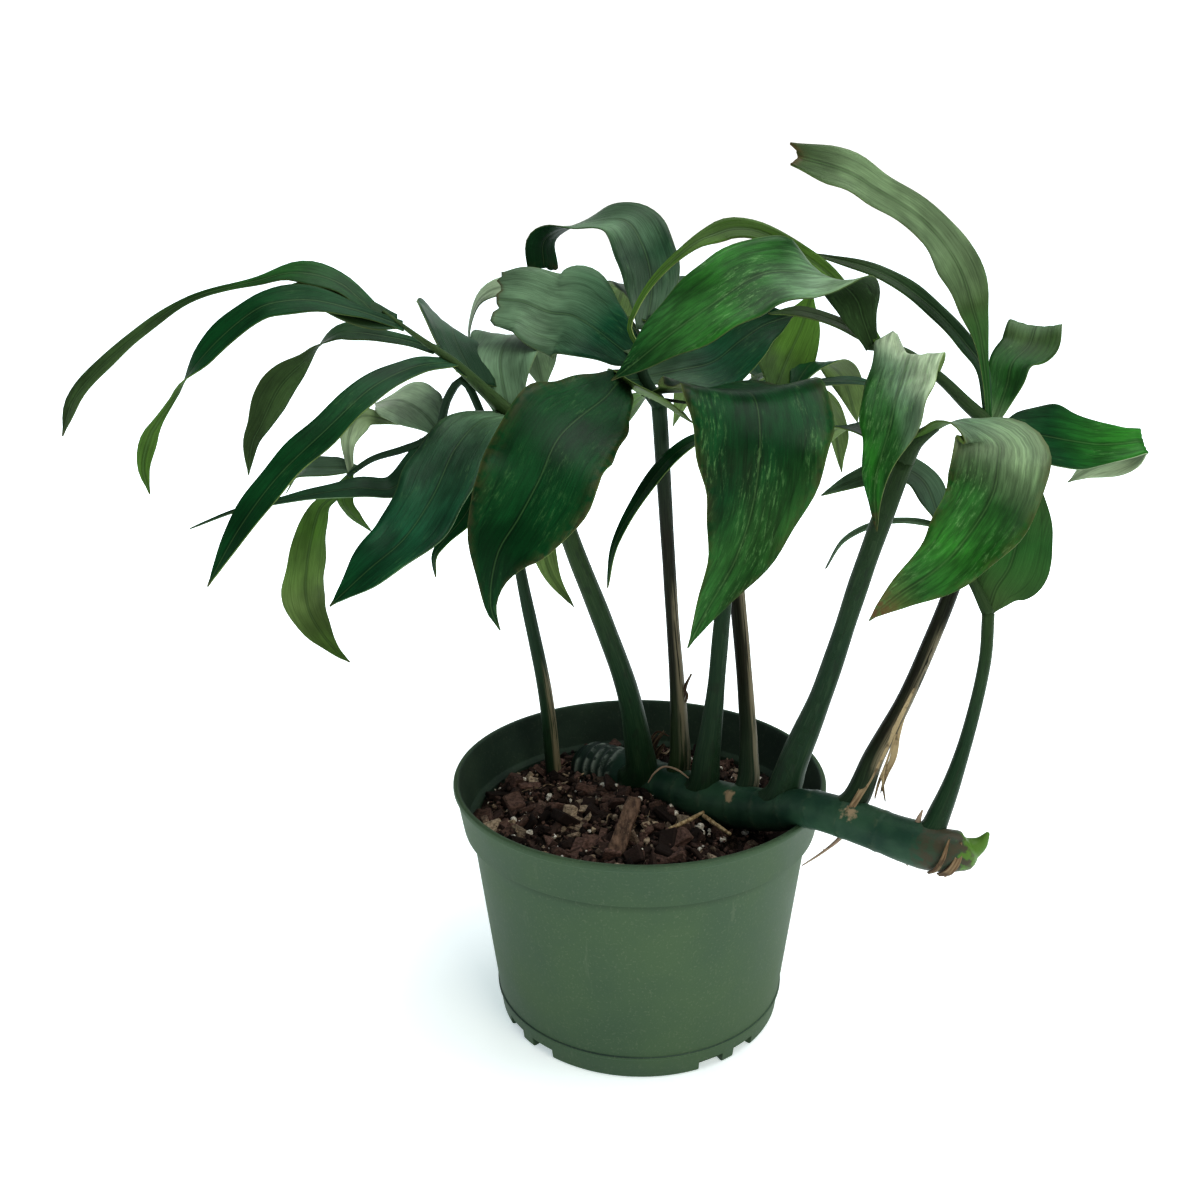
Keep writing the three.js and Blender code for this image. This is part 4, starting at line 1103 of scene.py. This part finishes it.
def make_stalk():
    """The skin of petioles and midribs: fine lengthwise fibres, darker flecks and a dry pale strip."""
    material, tree, shader = start_material("stalk skin", 0.45, 0.12)
    place = mark_of(tree, "place").outputs["Vector"]
    tone = mark_of(tree, "upper").outputs["Color"]
    dry = split(tree, mark_of(tree, "wear").outputs["Vector"])["Y"]
    fibres = grain(tree, stretch(tree, place, (1, 0.03, 1)), 2200, 3)
    lined = blend(tree, span(tree, fibres, 0.42, 0.7, 0.0, 0.08), tone, (0.14, 0.2, 0.1, 1))
    flecks = grain(tree, stretch(tree, place, (1, 0.3, 1)), 420, 3)
    flecked = blend(tree, span(tree, flecks, 0.52, 0.7, 0.0, 0.5), lined, (0.012, 0.02, 0.012, 1))
    threads = grain(tree, stretch(tree, place, (1, 0.04, 1)), 900, 3)
    ragged = calc(tree, "MULTIPLY", dry, span(tree, threads, 0.36, 0.54))
    peeled = blend(tree, ragged, flecked, (0.24, 0.21, 0.14, 1))
    tree.links.new(peeled, shader.inputs["Base Color"])
    relief(tree, shader, fibres, 0.4, 0.0005)
    return material


def make_pot_plastic(name, low, high):
    """Matt moss-green moulded plastic, with faint mottling, dust and scuffs, and painted shade under the
    collar.
    """
    material, tree, shader = start_material(name, 0.6, 0.2)
    spot = on_object(tree)
    cloudy = grain(tree, spot, 22, 4)
    speckle = grain(tree, spot, 900, 2)
    scuffs = grain(tree, stretch(tree, spot, (1, 1, 0.12)), 260, 5, 0.7)
    base = blend(tree, span(tree, cloudy, 0.3, 0.7), low, high)
    dusty = blend(tree, span(tree, scuffs, 0.6, 0.8, 0.0, 0.25), base, (0.14, 0.17, 0.11, 1))
    grit = blend(tree, span(tree, speckle, 0.55, 0.72, 0.0, 0.12), dusty, (0.2, 0.22, 0.15, 1))
    level = split(tree, spot)["Z"]
    # Painted shade: darker from 86.5 mm up to the collar's lower edge, and faintly darker above it.
    under_collar_shade = span(tree, level, 0.0865, 0.0915, 0.0, 0.4)
    shadow = calc(tree, "MULTIPLY", under_collar_shade, span(tree, level, 0.0918, 0.0924, 1.0, 0.3))
    shaded = blend(tree, shadow, grit, (0.012, 0.024, 0.014, 1))
    tree.links.new(shaded, shader.inputs["Base Color"])
    tree.links.new(span(tree, cloudy, 0.3, 0.7, 0.52, 0.66), shader.inputs["Roughness"])
    relief(tree, shader, speckle, 0.12, 0.0003)
    return material


def make_soil():
    material, tree, shader = start_material("soil crumb", 0.95, 0.1)
    spot = on_object(tree)
    crumbs = grain(tree, spot, 420, 6, 0.7)
    lumps = grain(tree, spot, 120, 3)
    base = blend(tree, span(tree, crumbs, 0.35, 0.65), (0.008, 0.006, 0.005, 1), (0.06, 0.042, 0.032, 1))
    patchy = blend(tree, span(tree, lumps, 0.45, 0.65, 0.0, 0.5), base, (0.02, 0.014, 0.01, 1))
    tree.links.new(patchy, shader.inputs["Base Color"])
    relief(tree, shader, crumbs, 0.9, 0.0015)
    return material


def make_chip_bark():
    """Bark chips, from near black to purplish brown and a few pale ones."""
    material, tree, shader = start_material("chip bark", 0.85, 0.15)
    shade, second, _ = split(tree, mark_of(tree, "place").outputs["Vector"])
    fibre = grain(tree, stretch(tree, on_object(tree), (1, 1, 2.5)), 700, 4)
    dark = blend(tree, calc(tree, "POWER", shade, 1.6), (0.012, 0.009, 0.009, 1), (0.17, 0.105, 0.088, 1))
    varied = blend(tree, span(tree, second, 0.84, 0.97), dark, (0.4, 0.32, 0.24, 1))
    lined = blend(tree, span(tree, fibre, 0.35, 0.65, 0.0, 0.6), varied, (0.02, 0.014, 0.011, 1))
    tree.links.new(lined, shader.inputs["Base Color"])
    relief(tree, shader, fibre, 0.7, 0.0006)
    return material


def make_perlite():
    material, tree, shader = start_material("perlite white", 0.9, 0.1)
    pits = grain(tree, on_object(tree), 1500, 3)
    base = blend(tree, span(tree, pits, 0.35, 0.7), (0.4, 0.37, 0.32, 1), (0.82, 0.81, 0.77, 1))
    tree.links.new(base, shader.inputs["Base Color"])
    relief(tree, shader, pits, 0.6, 0.0005)
    return material


def make_dry(name, dark, pale, scale):
    """Dry plant fibre, from a dark to a pale tone."""
    material, tree, shader = start_material(name, 0.8, 0.15)
    threads = grain(tree, on_object(tree), scale, 4)
    base = blend(tree, span(tree, threads, 0.3, 0.7), dark, pale)
    tree.links.new(base, shader.inputs["Base Color"])
    relief(tree, shader, threads, 0.6, 0.0004)
    return material


def make_slab_bark():
    material, tree, shader = start_material("slab bark", 0.88, 0.15)
    spot = on_object(tree)
    plates = grain(tree, stretch(tree, spot, (1, 0.4, 0.4)), 420, 5, 0.65)
    base = blend(tree, span(tree, plates, 0.32, 0.68), (0.05, 0.033, 0.026, 1), (0.19, 0.125, 0.09, 1))
    scattered = span(tree, grain(tree, spot, 900, 3), 0.6, 0.75, 0.0, 0.4)
    flakes = blend(tree, scattered, base, (0.3, 0.24, 0.18, 1))
    tree.links.new(flakes, shader.inputs["Base Color"])
    relief(tree, shader, plates, 0.8, 0.0012)
    return material


def make_stem():
    """The creeping stem's skin: dark green with pale ring scars, torn tan patches, roots and a green tip."""
    material, tree, shader = start_material("stem skin", 0.45, 0.16)
    share, pale_ring, green_ring = split(tree, mark_of(tree, "place").outputs["Vector"])
    spot = on_object(tree)
    cloudy = grain(tree, spot, 60, 3)
    rough = grain(tree, spot, 300, 4)
    base = blend(tree, span(tree, cloudy, 0.35, 0.65), (0.012, 0.04, 0.025, 1), (0.026, 0.066, 0.038, 1))
    aged = span(tree, share, DARK_END - 0.03, DARK_END, 0.75, 0.0)
    old_end = blend(tree, aged, base, (0.008, 0.016, 0.014, 1))
    flaky = calc(tree, "MULTIPLY", pale_ring, span(tree, grain(tree, spot, 170, 4, 0.7), 0.44, 0.6))
    ringed = blend(tree, calc(tree, "MULTIPLY", flaky, 0.7), old_end, (0.26, 0.3, 0.26, 1))
    joint = calc(tree, "MULTIPLY", green_ring, span(tree, rough, 0.45, 0.6, 0.0, 0.6))
    skin = blend(tree, joint, ringed, (0.12, 0.13, 0.08, 1))
    for centre, reach in SCAR_PLACES:
        apart = add(tree, "VectorMath", {0: spot, 1: Vector(centre) * MM}, operation="DISTANCE")
        gap = apart.outputs["Value"]
        torn_gap = calc(tree, "MULTIPLY_ADD", rough, 0.01, calc(tree, "SUBTRACT", gap, 0.005))
        patch = span(tree, torn_gap, reach * MM - 0.0012, reach * MM + 0.0008, 0.8, 0.0)
        skin = blend(tree, patch, skin, (0.3, 0.22, 0.14, 1))
    ragged = calc(tree, "MULTIPLY_ADD", rough, 0.08, calc(tree, "SUBTRACT", share, 0.04))
    on_bud = span(tree, ragged, BUD_START - 0.01, BUD_START)
    papery = calc(tree, "MULTIPLY", on_bud, span(tree, rough, 0.4, 0.6, 0.9, 0.4))
    sheathed = blend(tree, papery, skin, (0.05, 0.042, 0.026, 1))
    tip = blend(tree, span(tree, ragged, TIP_START, TIP_START + 0.015), sheathed, (0.065, 0.14, 0.022, 1))
    dry = blend(tree, span(tree, share, -0.5, 0.0, 1.0, 0.0), tip, (0.24, 0.18, 0.13, 1))
    tree.links.new(dry, shader.inputs["Base Color"])
    relief(tree, shader, rough, 0.35, 0.0008)
    return material


def make_dry_sheath():
    material, tree, shader = start_material("dry sheath", 0.75, 0.15)
    place = mark_of(tree, "place").outputs["Vector"]
    tone = mark_of(tree, "upper").outputs["Color"]
    threads = grain(tree, stretch(tree, place, (1, 0.06, 1)), 1300, 4)
    lined = blend(tree, span(tree, threads, 0.35, 0.65, 0.0, 0.3), tone, (0.45, 0.36, 0.22, 1))
    stained = span(tree, grain(tree, place, 160, 3), 0.5, 0.64, 0.0, 0.7)
    dark = blend(tree, stained, lined, (0.06, 0.04, 0.025, 1))
    tree.links.new(dark, shader.inputs["Base Color"])
    relief(tree, shader, threads, 0.8, 0.0006)
    return material


def make_floor():
    """White paper that glows like a light table: painted light, brightest away from the pot."""
    material, tree, shader = start_material("floor paper", 0.9, 0.0)
    shader.inputs["Base Color"].default_value = (0.93, 0.945, 0.95, 1)
    # Painted light: the paper glows faintly bluish, from 0.4 near the pot to 1.1 far off.
    shader.inputs["Emission Color"].default_value = (0.86, 0.98, 1, 1)
    reach = add(tree, "VectorMath", {0: on_object(tree)}, operation="LENGTH").outputs["Value"]
    tree.links.new(span(tree, reach, 0.1, 0.9, 0.4, 1.1), shader.inputs["Emission Strength"])
    return material


# Studio


def place_camera():
    pitch = math.radians(CAMERA_PITCH)
    yaw = math.radians(-CAMERA_YAW)
    roll = math.radians(CAMERA_ROLL)
    ahead = Vector((math.sin(yaw) * math.cos(pitch), math.cos(yaw) * math.cos(pitch), -math.sin(pitch)))
    level = ahead.cross(Vector((0, 0, 1))).normalized()
    upright = level.cross(ahead)
    up = upright * math.cos(roll) + level * math.sin(roll)
    right = level * math.cos(roll) - upright * math.sin(roll)
    data = bpy.data.cameras.new("camera")
    data.lens = CAMERA_LENS
    data.sensor_width = SENSOR_WIDTH
    data.clip_start = 0.01
    data.dof.use_dof = False
    camera = set_out("camera", data)
    turn = Matrix((right, up, -ahead)).transposed().to_4x4()
    camera.matrix_world = Matrix.Translation(CAMERA_PLACE) @ turn
    bpy.context.scene.camera = camera


def place_light(name, place, aim, size, energy, tint):
    data = bpy.data.lights.new(name, "AREA")
    data.shape = "SQUARE"
    data.size = size
    data.energy = energy
    data.color = tint
    lamp = set_out(name, data)
    lamp.location = place
    lamp.rotation_euler = (Vector(aim) - Vector(place)).to_track_quat("-Z", "Y").to_euler()


def light_room():
    """Soft daylight all round: white low down, dimmer overhead."""
    world = bpy.data.worlds.new("studio")
    world.use_nodes = True
    tree = world.node_tree
    height = split(tree, add(tree, "TexCoord").outputs["Generated"])["Z"]
    low = span(tree, height, 0.14, 0.4, 1.0, 0.0)
    sky = blend(tree, low, (0.3, 0.32, 0.34, 1), (1, 1, 1, 1))
    tree.links.new(sky, tree.nodes["Background"].inputs["Color"])
    bpy.context.scene.world = world


def build_studio():
    bm = bmesh.new()
    bmesh.ops.create_grid(bm, x_segments=1, y_segments=1, size=6)
    mesh = mesh_of("floor", bm)
    mesh.materials.append(make_floor())
    floor = set_out("floor", mesh)
    light_room()
    bpy.context.scene.view_settings.view_transform = "Standard"
    bpy.context.scene.view_settings.look = "Medium High Contrast"
    place_light("overhead", (0.35, 0.1, 1.5), (0, 0, 0.15), 1.3, 20, (1, 1, 1))
    place_light("front", (0.9, -1.3, 1.0), (0, 0, 0.15), 0.9, 8, (1, 0.9, 0.7))


blade_upper = make_blade("leaf upper side", "upper", 0.38, 0.6, 1)
blade_under = make_blade("leaf underside", "under", 0.55, 1.2, 0.35)
stalk_skin = make_stalk()
pot_plastic = make_pot_plastic("pot plastic", (0.042, 0.079, 0.044, 1), (0.056, 0.097, 0.05, 1))
# Painted shade: a darker copy of the pot plastic for the inside of the pot.
pot_inside_shade = make_pot_plastic("pot plastic, inside in painted shade", (0.02, 0.04, 0.03, 1), (0.045, 0.078, 0.052, 1))
soil_crumb = make_soil()
chip_bark = make_chip_bark()
perlite_white = make_perlite()
dry_fibre = make_dry("dry fibre", (0.1, 0.07, 0.045, 1), (0.36, 0.28, 0.19, 1), 800)
straw_skin = make_dry("straw skin", (0.16, 0.11, 0.06, 1), (0.46, 0.37, 0.23, 1), 600)
slab_bark = make_slab_bark()
stem_skin = make_stem()
dry_sheath_skin = make_dry_sheath()

place_camera()
build_studio()
build_pot()
build_soil()
build_chips()
build_crumbs()
build_perlite()
build_fibres()
build_rhizome()
for number, (name, leaf) in enumerate(LEAVES.items(), 1):
    build_leaf(name, leaf, number)
build_papery("torn_sheath", SHEATH_STRIPS, 300, ["husk", "husk", "brown"], "dry_sheath")
build_papery("bud_scales", BUD_STRIPS, 320, ["bark", "brown", "brown"])
build_papery("dry_curls", DRY_CURLS, 340, ["bark", "bark"])
build_slab()
build_straws()
